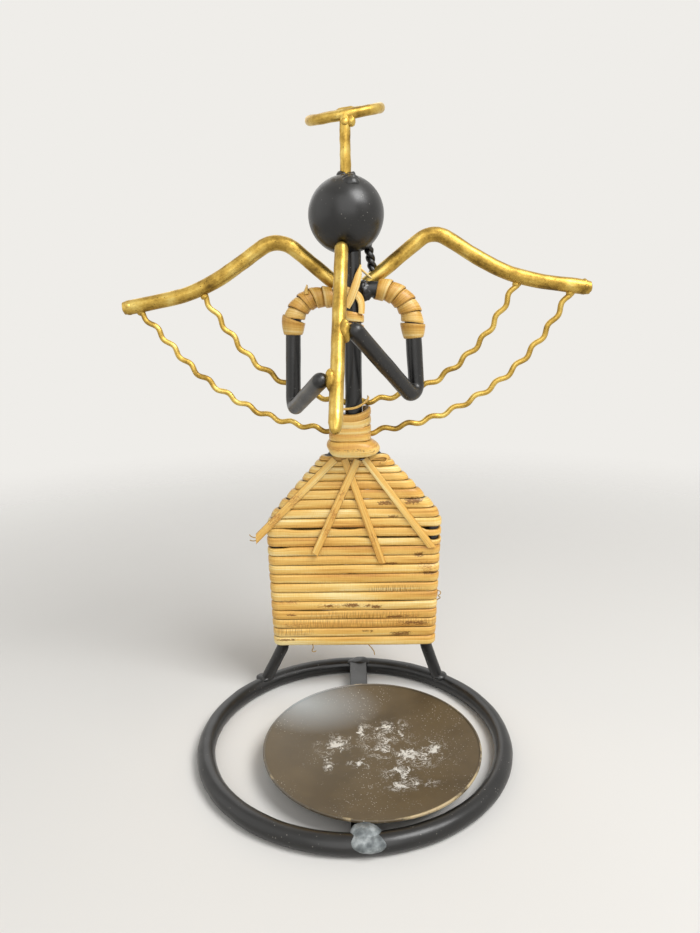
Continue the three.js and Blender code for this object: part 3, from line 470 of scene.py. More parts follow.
def directionsOf(route, endless=False):
    count = len(route)
    directions = []
    for i, point in enumerate(route):
        before = route[(i - 1) % count] if endless else route[max(i - 1, 0)]
        after = route[(i + 1) % count] if endless else route[min(i + 1, count - 1)]
        directions.append(((point - before).normalized() + (after - point).normalized()).normalized())
    return directions


# How far along a route each of its points lies
def lengthsAlong(route):
    lengths = [0]
    for start, end in zip(route, route[1:]):
        lengths.append(lengths[-1] + (end - start).length)
    return lengths


# The point that lies so far along a route
def pointAlong(route, lengths, distance):
    k = min(max(bisect_left(lengths, distance), 1), len(lengths) - 1)
    share = (distance - lengths[k - 1]) / (lengths[k] - lengths[k - 1])
    return route[k - 1].lerp(route[k], share)


# A round bar along a route, with either end rounded off and a swell along its length
def barSkin(route, diameter, around=28, endless=False, rounded=(), swell=lambda share: 1):
    stations = [
        (point, along, diameter / 2 * swell(i / (len(route) - 1)))
        for i, (point, along) in enumerate(zip(route, directionsOf(route, endless)))
    ]
    for end in rounded:
        point, along, size = stations[-1 if end == "end" else 0]
        outward = along if end == "end" else -along
        for rise in (18, 36, 54, 70, 83):
            beyond = point + outward * size * math.sin(rise * degrees)
            tip = (beyond, along, size * math.cos(rise * degrees))
            stations.insert(len(stations) if end == "end" else 0, tip)
    side = Vector((0.31, 0.87, 0.38))  # a way in which no bar here runs
    travelled = 0
    frames = []
    for i, (point, along, size) in enumerate(stations):
        side = (side - along * side.dot(along)).normalized()
        travelled += (point - stations[i - 1][0]).length if i else 0
        frames.append((point, side, along.cross(side), size, travelled))

    def place(step, k):
        point, side, other, size, travelled = frames[step]
        angle = math.tau * k / around
        x, y = size * math.cos(angle), size * math.sin(angle)
        return point + side * x + other * y, (travelled, x, y)

    return rolledSkin(len(frames) if endless else len(frames) - 1, around, place, endless)


# One lumpy drop of weld or paint
def weldDrop(centre, size, lumps, grain, seed=0):
    bm = bmesh.new()
    bm.verts.layers.float_vector.new("flat")
    bmesh.ops.create_icosphere(bm, subdivisions=4, radius=1)
    bmesh.ops.scale(bm, vec=size, verts=bm.verts)
    roughen(bm, lumps, grain, seed)
    roughen(bm, lumps * 0.3, grain / 3, seed + 7)
    bmesh.ops.translate(bm, vec=centre, verts=bm.verts)
    return bm


# A weld of several drops, each with its place from an origin and then what weldDrop takes
def weldSkin(drops, origin=Vector()):
    return joined(*(weldDrop(origin + Vector(place), *drop) for place, *drop in drops))


# The section of a strip, as shares of its half width and of its thickness
stripSection = [
    (-0.97, 0), (-0.5, 0), (0, 0), (0.5, 0), (0.97, 0), (1, 0.22), (0.96, 0.52), (0.85, 0.76), (0.66, 0.91),
    (0.36, 0.985), (0, 1), (-0.36, 0.985), (-0.66, 0.91), (-0.85, 0.76), (-0.96, 0.52), (-1, 0.22),
]


# A strip wound round a core. surface(step, height, lift) is a point so far off the core, where
# height runs across the strip. heightAt, widthAt and lean give the strip's course.
def woundStrip(first, last, surface, heightAt, widthAt, thickness, lean=lambda step, share: 0):
    lengths = lengthsAlong([surface(step, heightAt(step), 0) for step in range(first, last + 1)])

    def place(index, k):
        step = first + index
        share, depth = stripSection[k]
        across = share * widthAt(step) / 2
        lift = depth * thickness + lean(step, share)
        return surface(step, heightAt(step) + across, lift), (lengths[index], across, depth)

    return rolledSkin(last - first, len(stripSection), place)


# A point, facing and width between two knots, on a curve with no kink at the knots
def betweenKnots(knots, k, share):
    square, cube = share * share, share * share * share
    values = []
    for points in ([at for at, facing, width in knots], [facing for at, facing, width in knots]):
        start, end = points[k], points[k + 1]
        leaving = (end - points[k - 1]) / 2 if k else end - start
        arriving = (points[k + 2] - start) / 2 if k + 2 < len(points) else end - start
        values.append(
            start * (2 * cube - 3 * square + 1)
            + leaving * (cube - 2 * square + share)
            + end * (3 * square - 2 * cube)
            + arriving * (cube - square)
        )
    return *values, knots[k][2] * (1 - share) + knots[k + 1][2] * share


# A flat strip through knots, each with a place from an origin, the way its face looks, and its width
def flatStrip(knots, thickness, origin=Vector(), spacing=0.8):
    knots = [(Vector(at) + origin, Vector(facing), width) for at, facing, width in knots]
    count = max(8, round(lengthsAlong([at for at, facing, width in knots])[-1] / spacing))
    stations = []
    for i in range(count + 1):
        share = i / count * (len(knots) - 1)
        k = min(int(share), len(knots) - 2)
        stations.append(betweenKnots(knots, k, share - k))
    route = [point for point, facing, width in stations]
    directions = directionsOf(route)
    lengths = lengthsAlong(route)

    def place(step, k):
        share, depth = stripSection[k]
        point, facing, width = stations[step]
        along = directions[step]
        up = (facing - along * facing.dot(along)).normalized()
        across, lift = share * width / 2, depth * thickness
        return point + along.cross(up) * across + up * lift, (lengths[step], across, depth)

    return rolledSkin(count, len(stripSection), place)


# Ring, flat bar, pan and their welds. A weld is a list of drops, each with its place, its size, the
# height of its lumps, their grain and a seed. A drop that stands alone here has no place.
ring = {
    "radius": 67,
    "bar": 8,
    "steps": 180,
    "weld": [
        ((4.3, -67.1, 5.3), (8.4, 4.8, 3.3), 0.4, 5, 0),
        ((3.6, -64.8, 6.9), (6.2, 4.2, 2.9), 0.5, 4, 3),
        ((3.4, -62.2, 7.4), (3.8, 2.8, 2), 0.3, 3, 5),
    ],
}
ringAngles = [math.tau * k / ring["steps"] for k in range(ring["steps"])]
ringLift = Vector((0, 0, ring["bar"] / 2))
ringRoute = [Vector((math.cos(a), math.sin(a), 0)) * ring["radius"] + ringLift for a in ringAngles]
ringSkin = barSkin(ringRoute, ring["bar"], around=36, endless=True)
roughen(ringSkin, height=0.16, grain=9)
roughen(ringSkin, height=0.05, grain=2)
addPiece("ringBar", ringSkin, blackEnamel, ["base_ring"])

crossBar = {
    "width": 9,
    "thickness": 3,
    "shorter": 4,
    "x": 2.5,
    "height": 4.6,
    "lean": 1.5,
    "edge": 0.5,
    "weld": [((3.1, 65.2, 6.9), (6.4, 3.8, 1.9), 0.5, 5, 5)],
}
leaning = Matrix.Translation((crossBar["x"], 0, crossBar["height"])) @ Matrix.Rotation(
    crossBar["lean"] * degrees, 4, "X"
)
crossSkin = bmesh.new()
crossSize = (crossBar["width"], 2 * ring["radius"] - crossBar["shorter"], crossBar["thickness"])
bmesh.ops.create_cube(crossSkin, size=1, matrix=leaning @ Matrix.Diagonal((*crossSize, 1)))
bmesh.ops.bevel(
    crossSkin,
    geom=crossSkin.edges,
    affect="EDGES",
    offset=crossBar["edge"],
    segments=3,
    profile=0.5,
    material=-1,
)
addPiece("crossBar", crossSkin, blackEnamel, ["pan_bar"])

# The pan's section is spun: the floor, an arc up to the rim, a short lip, and back inside
rise = pan["depth"] - pan["lip"]
run = pan["radius"] - pan["floorRadius"]
arcRadius = (run * run + rise * rise) / (2 * rise)
arcTurn = math.asin(run / arcRadius)


def panWall(offset):
    reach = arcRadius - offset
    turns = [arcTurn * k / pan["arcSteps"] for k in range(pan["arcSteps"] + 1)]
    return [(pan["floorRadius"] + reach * math.sin(t), arcRadius - reach * math.cos(t)) for t in turns]


rimOut, rimIn = pan["radius"], pan["radius"] - pan["sheet"]
lipTop = [
    (rimOut, rise + pan["lipEdge"]),
    (rimOut, pan["depth"] - pan["lipEdge"]),
    (rimOut - pan["lipRound"], pan["depth"]),
    (rimIn + pan["lipRound"], pan["depth"]),
    (rimIn, pan["depth"] - pan["lipEdge"]),
]
profile = [(0, 0), *panWall(0)[:-1], *lipTop, *panWall(pan["sheet"])[::-1], (0, pan["sheet"])]
panSkin = bmesh.new()
profileVerts = [panSkin.verts.new((x, 0, z)) for x, z in profile]
profileEdges = [panSkin.edges.new(pair) for pair in zip(profileVerts, profileVerts[1:])]
bmesh.ops.spin(
    panSkin,
    geom=profileVerts + profileEdges,
    axis=(0, 0, 1),
    cent=(0, 0, 0),
    angle=math.tau,
    steps=pan["spinSteps"],
    use_merge=True,
)
bmesh.ops.remove_doubles(panSkin, verts=panSkin.verts, dist=1e-4)
bmesh.ops.recalc_face_normals(panSkin, faces=panSkin.faces)
roughen(panSkin, height=0.12, grain=24)
panFoot = crossBar["thickness"] / 2 + seatGap
panPlace = leaning @ Matrix.Translation((pan["across"], -pan["forward"], panFoot))
bmesh.ops.transform(panSkin, matrix=panPlace, verts=panSkin.verts)
addPiece("dripPan", panSkin, panSheet, ["drip_pan"])
addPiece("ringWeld", weldSkin(ring["weld"]), bareWeld, ["ring_weld"])
addPiece("barWeld", weldSkin(crossBar["weld"]), blackEnamel, ["bar_weld"])
print("ring and pan are down")

# Frame rods, in one plane from the ring to the waist
figure = middleOf("spine")
frameY = middleOf("frame_rod_left").y
frameRod = {
    "bar": 6,
    "footAngle": 43.6,
    "footShift": 1.1,
    "hemHeight": 25,
    "hemOut": {"Left": 38, "Right": 36.3},
    "shoulderOut": {"Left": 40, "Right": 39},
    "shoulderHeight": {"Left": 91.8, "Right": 94.6},
    "waistOut": 3.65,
    "waistHeight": 133.3,
    "top": 147,
    "bends": (8, 12, 5),
    "weldDown": 0.6,
    "drop": ((4, 4, 1.8), 0.4, 5),
}


def footOf(side, height):
    out = sides[side] * ring["radius"] * math.sin(frameRod["footAngle"] * degrees)
    return Vector((out - frameRod["footShift"], frameY, height))


def frameRoute(side, step=4, spacing=3):
    waistX = figure.x + sides[side] * frameRod["waistOut"]
    hemX = figure.x + sides[side] * frameRod["hemOut"][side]
    shoulderX = figure.x + sides[side] * frameRod["shoulderOut"][side]
    corners = [
        footOf(side, ring["bar"] / 2),
        (hemX, frameY, frameRod["hemHeight"]),
        (shoulderX, frameY, frameRod["shoulderHeight"][side]),
        (waistX, frameY, frameRod["waistHeight"]),
        (waistX, frameY, frameRod["top"]),
    ]
    return bentRoute(corners, frameRod["bends"], step, spacing)


for side, sign in sides.items():
    rodSkin = barSkin(frameRoute(side), frameRod["bar"], around=24)
    roughen(rodSkin, height=0.15, grain=7, seed=sign)
    addPiece("frameRod" + side, rodSkin, blackEnamel, ["frame_rod_" + side.lower()])
    weld = weldDrop(footOf(side, ring["bar"] - frameRod["weldDown"]), *frameRod["drop"], 9 + sign)
    addPiece("footWeld" + side, weld, blackEnamel, ["foot_weld_" + side.lower()])

# Spine and head
headCentre = middleOf("head_ball")
head = {"diameter": 34, "spineBar": 8, "spineFoot": 134}
headRadius = head["diameter"] / 2
spineRoute = [Vector((figure.x, figure.y, height)) for height in (head["spineFoot"], headCentre.z)]
spineSkin = barSkin(subdivided(spineRoute, spacing=3), head["spineBar"])
roughen(spineSkin, height=0.12, grain=8)
addPiece("spineRod", spineSkin, blackEnamel, ["spine"])

headSkin = bmesh.new()
headPlace = Matrix.Translation(headCentre)
bmesh.ops.create_uvsphere(headSkin, u_segments=96, v_segments=64, radius=headRadius, matrix=headPlace)
roughen(headSkin, height=0.12, grain=12)
addPiece("headBall", headSkin, blackEnamel, ["head_ball"])

# Halo on its stem. Its front lies on the stem, and its ends lap at the back.
halo = {
    "stemBar": 4.8,
    "stemLength": 22.1,
    "stemSunk": 2,
    "width": 37.2,
    "bar": 4.5,
    "lean": 15,
    "roll": 9,
    "steps": 120,
    "lapSwell": 0.3,
    "lapLength": 9,
    "lapRunOut": 1.6,
    "weld": [((2.6, -0.8, -2.6), (2, 2, 2.4), 0.5, 2, 2), ((0, -1.9, -3.2), (1.7, 1.2, 1.7), 0.2, 2, 4)],
}
stemFoot = headCentre + Vector((0, 0, headRadius))
haloFront = stemFoot + Vector((0, 0, halo["stemLength"] + halo["bar"] / 2))
haloRadius = (halo["width"] - halo["bar"]) / 2
haloAcross = Vector((math.cos(halo["roll"] * degrees), 0, math.sin(halo["roll"] * degrees)))
haloBack = Vector((0, math.cos(halo["lean"] * degrees), math.sin(halo["lean"] * degrees)))


def onHalo(angle):
    outward = haloAcross * math.sin(angle) - haloBack * math.cos(angle)
    return haloFront + haloBack * haloRadius + outward * haloRadius


def lapSwell(share):
    fromBack = abs(share - 0.5) * math.tau * haloRadius
    return 1 + halo["lapSwell"] * min(1, max(0, (halo["lapLength"] / 2 - fromBack) / halo["lapRunOut"]))


haloRoute = [onHalo(math.tau * k / halo["steps"]) for k in range(halo["steps"])]
haloSkin = barSkin(haloRoute, halo["bar"], around=24, endless=True, swell=lapSwell)
roughen(haloSkin, height=0.22, grain=5)
addPiece("haloRing", haloSkin, goldPaint, ["halo_ring"])
stemRoute = subdivided([stemFoot - Vector((0, 0, halo["stemSunk"])), haloFront], spacing=2)
stemSkin = barSkin(stemRoute, halo["stemBar"], around=24)
roughen(stemSkin, height=0.3, grain=3)
addPiece("haloStem", stemSkin, goldPaint, ["halo_stem"])
addPiece("haloWeld", weldSkin(halo["weld"], haloFront), goldPaint, ["halo_weld"])

# Black weld round the stem's foot, and the thick paint that ran from it down the head
collar = {
    "weld": [
        ((-1.6, -1.2, -0.6), (2.6, 2.4, 1.7), 0.7, 2.2, 6),
        ((1.8, -0.9, -0.5), (2.4, 2.5, 1.6), 0.7, 2.2, 8),
        ((0.2, 1.8, -0.5), (3, 2, 1.5), 0.6, 2.2, 11),
    ],
    "runAt": (0.13, -0.6, 0.69),
    "run": [((0, 0, 0), (3.9, 2.8, 3), 0.4, 3, 13), ((-0.3, 3.4, 2.2), (4, 3.4, 2.2), 0.4, 3, 17)],
}
runAt = headCentre + Vector(collar["runAt"]) * headRadius
collarSkin = joined(weldSkin(collar["weld"], stemFoot), weldSkin(collar["run"], runAt))
addPiece("stemCollar", collarSkin, blackEnamel)

# Trumpet, from low on the front of the head towards the pan
trumpet = {
    "bar": 6,
    "length": 90,
    "tilt": 33,
    "yaw": 2,
    "seatDown": 50,
    "seatSide": 11,
    "endRound": 1.6,
    "endTaper": 0.8,
}
tilt, yaw = trumpet["tilt"] * degrees, trumpet["yaw"] * degrees
trumpetWay = Vector((-math.sin(yaw), -math.sin(tilt), -math.cos(tilt))).normalized()
down, aside = trumpet["seatDown"] * degrees, trumpet["seatSide"] * degrees
mouthWay = Vector((-math.sin(aside) * math.cos(down), -math.cos(aside) * math.cos(down), -math.sin(down)))
mouth = headCentre + mouthWay * headRadius
trumpetTop = mouth + trumpetWay * trumpet["bar"] / 2
trumpetEnd = mouth + trumpetWay * (trumpet["length"] - trumpet["endRound"])
trumpetSkin = barSkin(
    subdivided([trumpetTop, trumpetEnd], spacing=2.5),
    trumpet["bar"],
    rounded=("start", "end"),
    swell=lambda share: trumpet["endTaper"] if share == 1 else 1,
)
roughen(trumpetSkin, height=0.2, grain=5)
addPiece("trumpetRod", trumpetSkin, goldPaint, ["trumpet"])

# Arms, bent at the shoulder and the elbow, each hand welded to the trumpet. A bend has how far out
# and how high it is, and its radius.
arms = {
    "Left": {"bar": 7, "shoulder": (27.2, 201.6, 13), "elbow": (28.6, 149.8, 4.5), "handAlong": 67.4},
    "Right": {"bar": 7.5, "shoulder": (26.6, 204.8, 16), "elbow": (30.2, 152.8, 4.5), "handAlong": 44.6},
}
handWeld = {"out": 2.7, "forward": 1.1, "up": 0.4, "drop": ((2.3, 2.7, 4.8), 0.6, 2.6)}
shoulderWeld = {"out": 5.6, "forward": 0.6, "down": 0.4, "drop": ((3.4, 4.3, 4.4), 1.1, 2.4, 21)}


def armRoute(side, step=4, spacing=3):
    arm, sign = arms[side], sides[side]
    shoulderOut, shoulderHeight, shoulderBend = arm["shoulder"]
    elbowOut, elbowHeight, elbowBend = arm["elbow"]
    beside = Vector((sign * ((trumpet["bar"] + arm["bar"]) / 2 + seatGap), 0, 0))
    corners = [
        (figure.x, figure.y, shoulderHeight),
        (figure.x + sign * shoulderOut, figure.y, shoulderHeight),
        (figure.x + sign * elbowOut, figure.y, elbowHeight),
        mouth + trumpetWay * arm["handAlong"] + beside,
    ]
    return bentRoute(corners, (shoulderBend, elbowBend), step, spacing)


for side, sign in sides.items():
    armSkin = barSkin(armRoute(side), arms[side]["bar"], rounded=("end",))
    roughen(armSkin, height=0.15, grain=8, seed=sign)
    addPiece("arm" + side, armSkin, blackEnamel, ["arm_" + side.lower()])
    beside = Vector((sign * handWeld["out"], -handWeld["forward"], handWeld["up"]))
    weld = weldDrop(mouth + trumpetWay * arms[side]["handAlong"] + beside, *handWeld["drop"], 3 + sign)
    addPiece("handWeld" + side, weld, goldPaint, ["hand_weld_" + side.lower()])
shoulderHeight = arms["Right"]["shoulder"][1] - shoulderWeld["down"]
rightShoulder = Vector((figure.x + shoulderWeld["out"], figure.y - shoulderWeld["forward"], shoulderHeight))
addPiece("shoulderWeld", weldDrop(rightShoulder, *shoulderWeld["drop"]), blackEnamel)
print("figure is up")

# Wings. A turn has how far out and how high it is.
wings = {
    "Left": {
        "bar": 6.8,
        "seatAngle": 59,
        "rootOut": 7.6,
        "turns": ((33.6, 229.3), (70.9, 204.3), (108.1, 197.7)),
        "bends": (12.7, 80),
        "yaw": 3.9,
    },
    "Right": {
        "bar": 6.7,
        "seatAngle": 21,
        "rootOut": 6.4,
        "turns": ((36.8, 231.2), (71.8, 209.8), (109, 204.3)),
        "bends": (10.6, 80),
        "yaw": -3.2,
    },
}
wingTip = {"taper": 0.86, "back": 2.6, "drop": ((3.5, 3.4, 3.4), 0.7, 2.4)}


def wingRoute(side):
    wing, sign = wings[side], sides[side]
    reach = (arms[side]["bar"] + wing["bar"]) / 2
    rootY = figure.y + reach * math.cos(wing["seatAngle"] * degrees)
    rootZ = arms[side]["shoulder"][1] + reach * math.sin(wing["seatAngle"] * degrees)
    corners = [
        (figure.x + sign * out, rootY + (out - wing["rootOut"]) * math.tan(wing["yaw"] * degrees), height)
        for out, height in ((wing["rootOut"], rootZ), *wing["turns"])
    ]
    return bentRoute(corners, wing["bends"], step=2, spacing=2.5)


for side, sign in sides.items():
    route = wingRoute(side)
    barEnd = barSkin(route, wings[side]["bar"], swell=lambda share: wingTip["taper"] if share == 1 else 1)
    tipAt = route[-1] - (route[-1] - route[-2]).normalized() * wingTip["back"]
    wingSkin = joined(barEnd, weldDrop(tipAt, *wingTip["drop"], sign))
    roughen(wingSkin, height=0.25, grain=9, seed=sign)
    roughen(wingSkin, height=0.1, grain=2.5, seed=sign)
    addPiece("wing" + side, wingSkin, goldPaint, ["wing_rod_" + side.lower()])

# Wavy wires from the wings to the waist. A knot has how far out, back and above the wire's end it is.
wire = {
    "bar": 2.6,
    "waveLength": 11.6,
    "waveHeight": 0.85,
    "stepsPerWave": 18,
    "rootShare": 0.55,
    "drop": ((1.9, 1.7, 1.6), 0.4, 1.6),
    "innerEnd": 152.9,
    "outerEnd": 136.6,
}
wires = {
    "innerLeft": {"startOut": 69.5, "knots": ((59.4, 8.2, 34.2), (46, 7.7, 18.2), (23, 6.8, 4.4))},
    "outerLeft": {"startOut": 102.6, "knots": ((95.3, 9.9, 53.5), (72.7, 9.4, 28.5), (42.2, 8.4, 9.6))},
    "innerRight": {"startOut": 75.7, "knots": ((59.8, 4.8, 27.3), (38, 6.3, 8.7), (14, 6.8, 0.9))},
    "outerRight": {"startOut": 100.4, "knots": ((86.8, 2.8, 43.6), (69.2, 3.3, 25.2), (40.8, 4, 9.1))},
}
waistY = (frameY + frameRod["bar"] / 2 + figure.y - head["spineBar"] / 2) / 2


# Centripetal curve through points, evenly stepped
def smoothRoute(points, spacing):
    fine = []
    ghosts = [points[0] * 2 - points[1], *points, points[-1] * 2 - points[-2]]
    for a, b, c, d in zip(ghosts, ghosts[1:], ghosts[2:], ghosts[3:]):
        times = [0]
        for start, end in zip((a, b, c), (b, c, d)):
            times.append(times[-1] + math.sqrt((end - start).length))
        count = max(2, round((c - b).length / 0.5))
        for i in range(count):
            t = times[1] + (times[2] - times[1]) * i / count
            first = a.lerp(b, (t - times[0]) / (times[1] - times[0]))
            second = b.lerp(c, (t - times[1]) / (times[2] - times[1]))
            third = c.lerp(d, (t - times[2]) / (times[3] - times[2]))
            low = first.lerp(second, (t - times[0]) / (times[2] - times[0]))
            high = second.lerp(third, (t - times[1]) / (times[3] - times[1]))
            fine.append(low.lerp(high, (t - times[1]) / (times[2] - times[1])))
    fine.append(points[-1])
    lengths = lengthsAlong(fine)
    count = round(lengths[-1] / spacing)
    return [pointAlong(fine, lengths, lengths[-1] * i / count) for i in range(count + 1)]


for name, values in wires.items():
    kind, side = name[:5], name[5:]
    sign = sides[side]
    startX = figure.x + sign * values["startOut"]
    start = next(point for point in wingRoute(side) if sign * (point.x - startX) >= 0)
    end = Vector((figure.x, figure.y if kind == "inner" else waistY, wire[kind + "End"]))
    knots = [
        Vector((figure.x + sign * out, figure.y + back, end.z + above))
        for out, back, above in values["knots"]
    ]
    route = smoothRoute([start, *knots, end], wire["waveLength"] / wire["stepsPerWave"])
    waves = round(2 * lengthsAlong(route)[-1] / wire["waveLength"]) / 2
    directions = directionsOf(route)
    wavy = []
    for i, (point, along) in enumerate(zip(route, directions)):
        swing = wire["waveHeight"] * math.sin(math.tau * waves * i / (len(route) - 1))
        wavy.append(point + Vector((-along.z, 0, along.x)).normalized() * swing)
    wireSkin = barSkin(wavy, wire["bar"], around=12)
    roughen(wireSkin, height=0.06, grain=3)
    top = start + directions[0] * wings[side]["bar"] * wire["rootShare"]
    wireSkin = joined(wireSkin, weldDrop(top, *wire["drop"], values["startOut"]))
    node = f"wire_{kind}_{side.lower()}"
    addPiece("wire" + kind.capitalize() + side, wireSkin, goldPaint, [node])

# Braid: two strands laid round each other
braid = {"out": 7.2, "back": 6.6, "lean": 11, "strand": 2.5, "twists": 2.5, "apart": 1.0, "steps": 60}
braidTop = Vector((figure.x + braid["out"], figure.y + braid["back"], headCentre.z - head["diameter"] / 3))
braidFall = braidTop.z - wings["Right"]["turns"][0][1] + 2 * head["diameter"] / 3
strands = []
for phase in (0, math.pi):
    strandRoute = []
    for k in range(braid["steps"] + 1):
        share = k / braid["steps"]
        angle = math.tau * braid["twists"] * share + phase
        fallen = braidFall * share
        middle = braidTop + Vector((fallen * math.tan(braid["lean"] * degrees), 0, -fallen))
        strandRoute.append(middle + Vector((math.cos(angle), math.sin(angle), 0)) * braid["apart"])
    strand = barSkin(strandRoute, braid["strand"], around=14)
    roughen(strand, height=0.2, grain=2, seed=phase)
    strands.append(strand)
addPiece("plait", joined(*strands), blackEnamel, ["braid"])
print("wings, wires and braid are on")

# Skirt: one strip round both frame rods. The rows lie level over the front and climb at the back.
# Up to the slopes they are evenly spaced, and above that they crowd together.
skirt = {
    "rowGap": 0.1,
    "thickness": 1.35,
    "hem": 27.2,
    "rows": 22,
    "pitch": 4.86,
    "evenRows": 16,
    "crowding": 0.5,
    "frontSteps": 44,
    "endSteps": 10,
    "backSteps": 12,
    "wobble": 0.16,
    "waver": 0.14,
    "bulge": 0.18,
    "tilt": 0.3,
    "stepping": 0.3,
    "stepDown": 0.2,
    "endThickness": 0.7,
}
# Rows pulled apart: the row, the place from the figure's middle, half the length, and how much
# narrower the strip is there
skirtGaps = [
    (12, -24, 9, 0.9),
    (12, -4, 7, 0.8),
    (12, 38, 4, 1.6),
    (11, 20, 16, 0.7),
    (11, 40, 4, 1.9),
    (10, -39, 6, 0.7),
    (4, 20, 14, 0.3),
    (3, -22, 10, 0.35),
    (21, 12, 6, 2),
]
# Marks on the front: knots, rows of cross ticks and brown stains, each from the figure's middle and
# the ground, with half its length and height
skirtMarks = {
    "knots": [
        (-13.6, 49.1, 3, 1), (-2.3, 49.5, 5, 1.3), (6.4, 49.1, 2, 0.9), (10.3, 48.5, 3, 1.3),
        (21, 43, 7, 0.9), (31.8, 76.2, 3, 1.6), (17.8, 71.5, 4, 0.9), (37, 66.5, 5, 1),
        (23, 33.6, 6, 1.5), (-35.6, 30.8, 6, 0.6), (-32.9, 44.5, 3, 0.7), (6.4, 35.2, 4, 0.7),
        (28.6, 104, 5, 2), (14.8, 103, 4, 1.4), (18.9, 96.1, 3, 1), (-1.8, 66.3, 4, 0.5),
        (30, 39.5, 8, 1.2),
    ],
    "ticks": [
        (4.8, 43.8, 32, 2.2), (-4, 39.4, 36, 2.2), (-32, 35, 10, 2), (30, 39.4, 12, 2.2), (20, 58, 14, 2),
    ],
    "stains": [
        (-33, 51.5, 7, 1.6), (27.6, 39.4, 10, 1.8), (25, 43, 10, 1.5), (28.6, 104, 6, 2.4),
        (8, 91, 14, 1.2), (-10, 49, 16, 1.4), (30, 86, 8, 1), (-30, 39, 8, 1.5), (36, 70, 6, 3),
    ],
}
# The strip's own end loops out under the waist band
skirtEnd = [
    ((7.6, -4.4, 125.2), (0, -1, 0.2), 2.4),
    ((10.5, -4.9, 126.4), (0, -1, 0.3), 2.2),
    ((13.3, -4.6, 126.7), (0.2, -1, 0.5), 2),
    ((15.3, -3.6, 126), (0.8, -0.6, 0.3), 2),
    ((15.7, -3.4, 124.6), (1, -0.5, -0.2), 1.8),
    ((14.6, -4.6, 123.4), (0.3, -1, -0.4), 1.6),
    ((12.6, -5, 123.3), (0, -1, 0), 1.2),
]
outlines = {side: frameRoute(side, step=3, spacing=1) for side in sides}


# How far out a frame rod's middle line is at a height
def frameOut(side, height):
    outline = outlines[side]
    for low, high in zip(outline, outline[1:]):
        if low.z <= height <= high.z:
            return sides[side] * (low.lerp(high, (height - low.z) / (high.z - low.z)).x - figure.x)
    return sides[side] * (outline[-1].x - figure.x)


# How far out a surface at a radius round the frame rod reaches at a height
def frameReach(side, height, radius):
    reach = 0
    for point in outlines[side]:
        square = radius * radius - (height - point.z) ** 2
        if square > 0:
            reach = max(reach, sides[side] * (point.x - figure.x) + math.sqrt(square))
    return reach


reachTable = {}  # half widths already worked out, by side, height and radius


def skirtWidths(side, height, radius):
    key = (side, round(height, 2), round(radius, 2))
    if key not in reachTable:
        reachTable[key] = (frameOut(side, height), frameReach(side, height, radius))
    return reachTable[key]


# Where a row's steps lie: a share of the half width, and the angle round the rod at that end
rowPlaces = (
    [(1, 90 - 180 * k / skirt["endSteps"]) for k in range(skirt["endSteps"])]
    + [(1 - 2 * k / skirt["frontSteps"], -90) for k in range(skirt["frontSteps"])]
    + [(-1, 270 - 180 * k / skirt["endSteps"]) for k in range(skirt["endSteps"])]
    + [(-1 + 2 * k / skirt["backSteps"], 90) for k in range(skirt["backSteps"])]
)
perRow = len(rowPlaces)
skirtCore = frameRod["bar"] / 2 + seatGap


# A point on the skirt. A row's width comes partly from one level, so that the rows make steps.
def onSkirt(step, height, lift):
    share, angle = rowPlaces[step % perRow]
    radius = skirtCore + lift
    ledge = skirtHeight(step) - skirt["stepDown"] * skirt["pitch"]
    level = height + (ledge - height) * skirt["stepping"]
    half, reach = skirtWidths("Left" if share < 0 else "Right", level, radius)
    turned = angle * degrees
    out = abs(math.cos(turned)) * (reach - half)
    x = share * half + math.copysign(out, share)
    return Vector((figure.x + x, frameY + math.sin(turned) * radius, height))


# The row a step belongs to, with a fraction while it climbs at the back
def skirtRow(step):
    row, within = divmod(step, perRow)
    return max(0, row + max(0, within - (perRow - skirt["backSteps"])) / skirt["backSteps"])


# How much narrower the strip is here, where rows are pulled apart
def skirtOpening(step):
    row, within = divmod(step, perRow)
    share, angle = rowPlaces[within]
    opening = 0
    inFront = min(1, max(0, 0.6 - math.sin(angle * degrees)))  # 1 over the front, 0 at the back
    for gapRow, at, reach, narrower in skirtGaps:
        if gapRow == row:
            away = (share * frameRod["shoulderOut"]["Right"] - at) / reach
            opening = max(opening, inFront * narrower * math.exp(-away * away * away * away))
    return opening


def skirtHeight(step):
    row = skirtRow(step)
    crowded = max(0, row - skirt["evenRows"])
    height = skirt["hem"] + skirt["pitch"] * (row + 0.5) - skirt["crowding"] * crowded * crowded / 2
    wander = skirt["wobble"] * noise.noise(Vector((step * 0.07, step // perRow * 3.7, 0)))
    return height + wander - skirtOpening(step) / 2


def skirtWidth(step):
    pitch = skirt["pitch"] - skirt["crowding"] * max(0, skirtRow(step) - skirt["evenRows"])
    waver = skirt["waver"] * noise.noise(Vector((step // perRow * 5.3, step * 0.04, 4)))
    return pitch - skirt["rowGap"] + waver - skirtOpening(step)


def skirtLean(step, share):
    tilt = skirt["tilt"] * noise.noise(Vector((step * 0.03, step // perRow * 7.1, 9)))
    return skirt["bulge"] * noise.noise(Vector((step * 0.05, step // perRow * 4.3, 5))) + tilt * share


def strengthAt(place, mark):
    x, z, halfLength, halfHeight = mark
    return math.exp(-(((place.x - figure.x - x) / halfLength) ** 4) - ((place.z - z) / halfHeight) ** 4)


# Paints marks on the front of a winding, strongest in the middle of each
def paintMarks(bm, marks):
    layer = bm.verts.layers.float_vector.new("marks")
    for vert in bm.verts:
        if vert.co.y < frameY:
            vert[layer] = [
                max([strengthAt(vert.co, mark) for mark in marks.get(kind, ())], default=0)
                for kind in ("knots", "ticks", "stains")
            ]


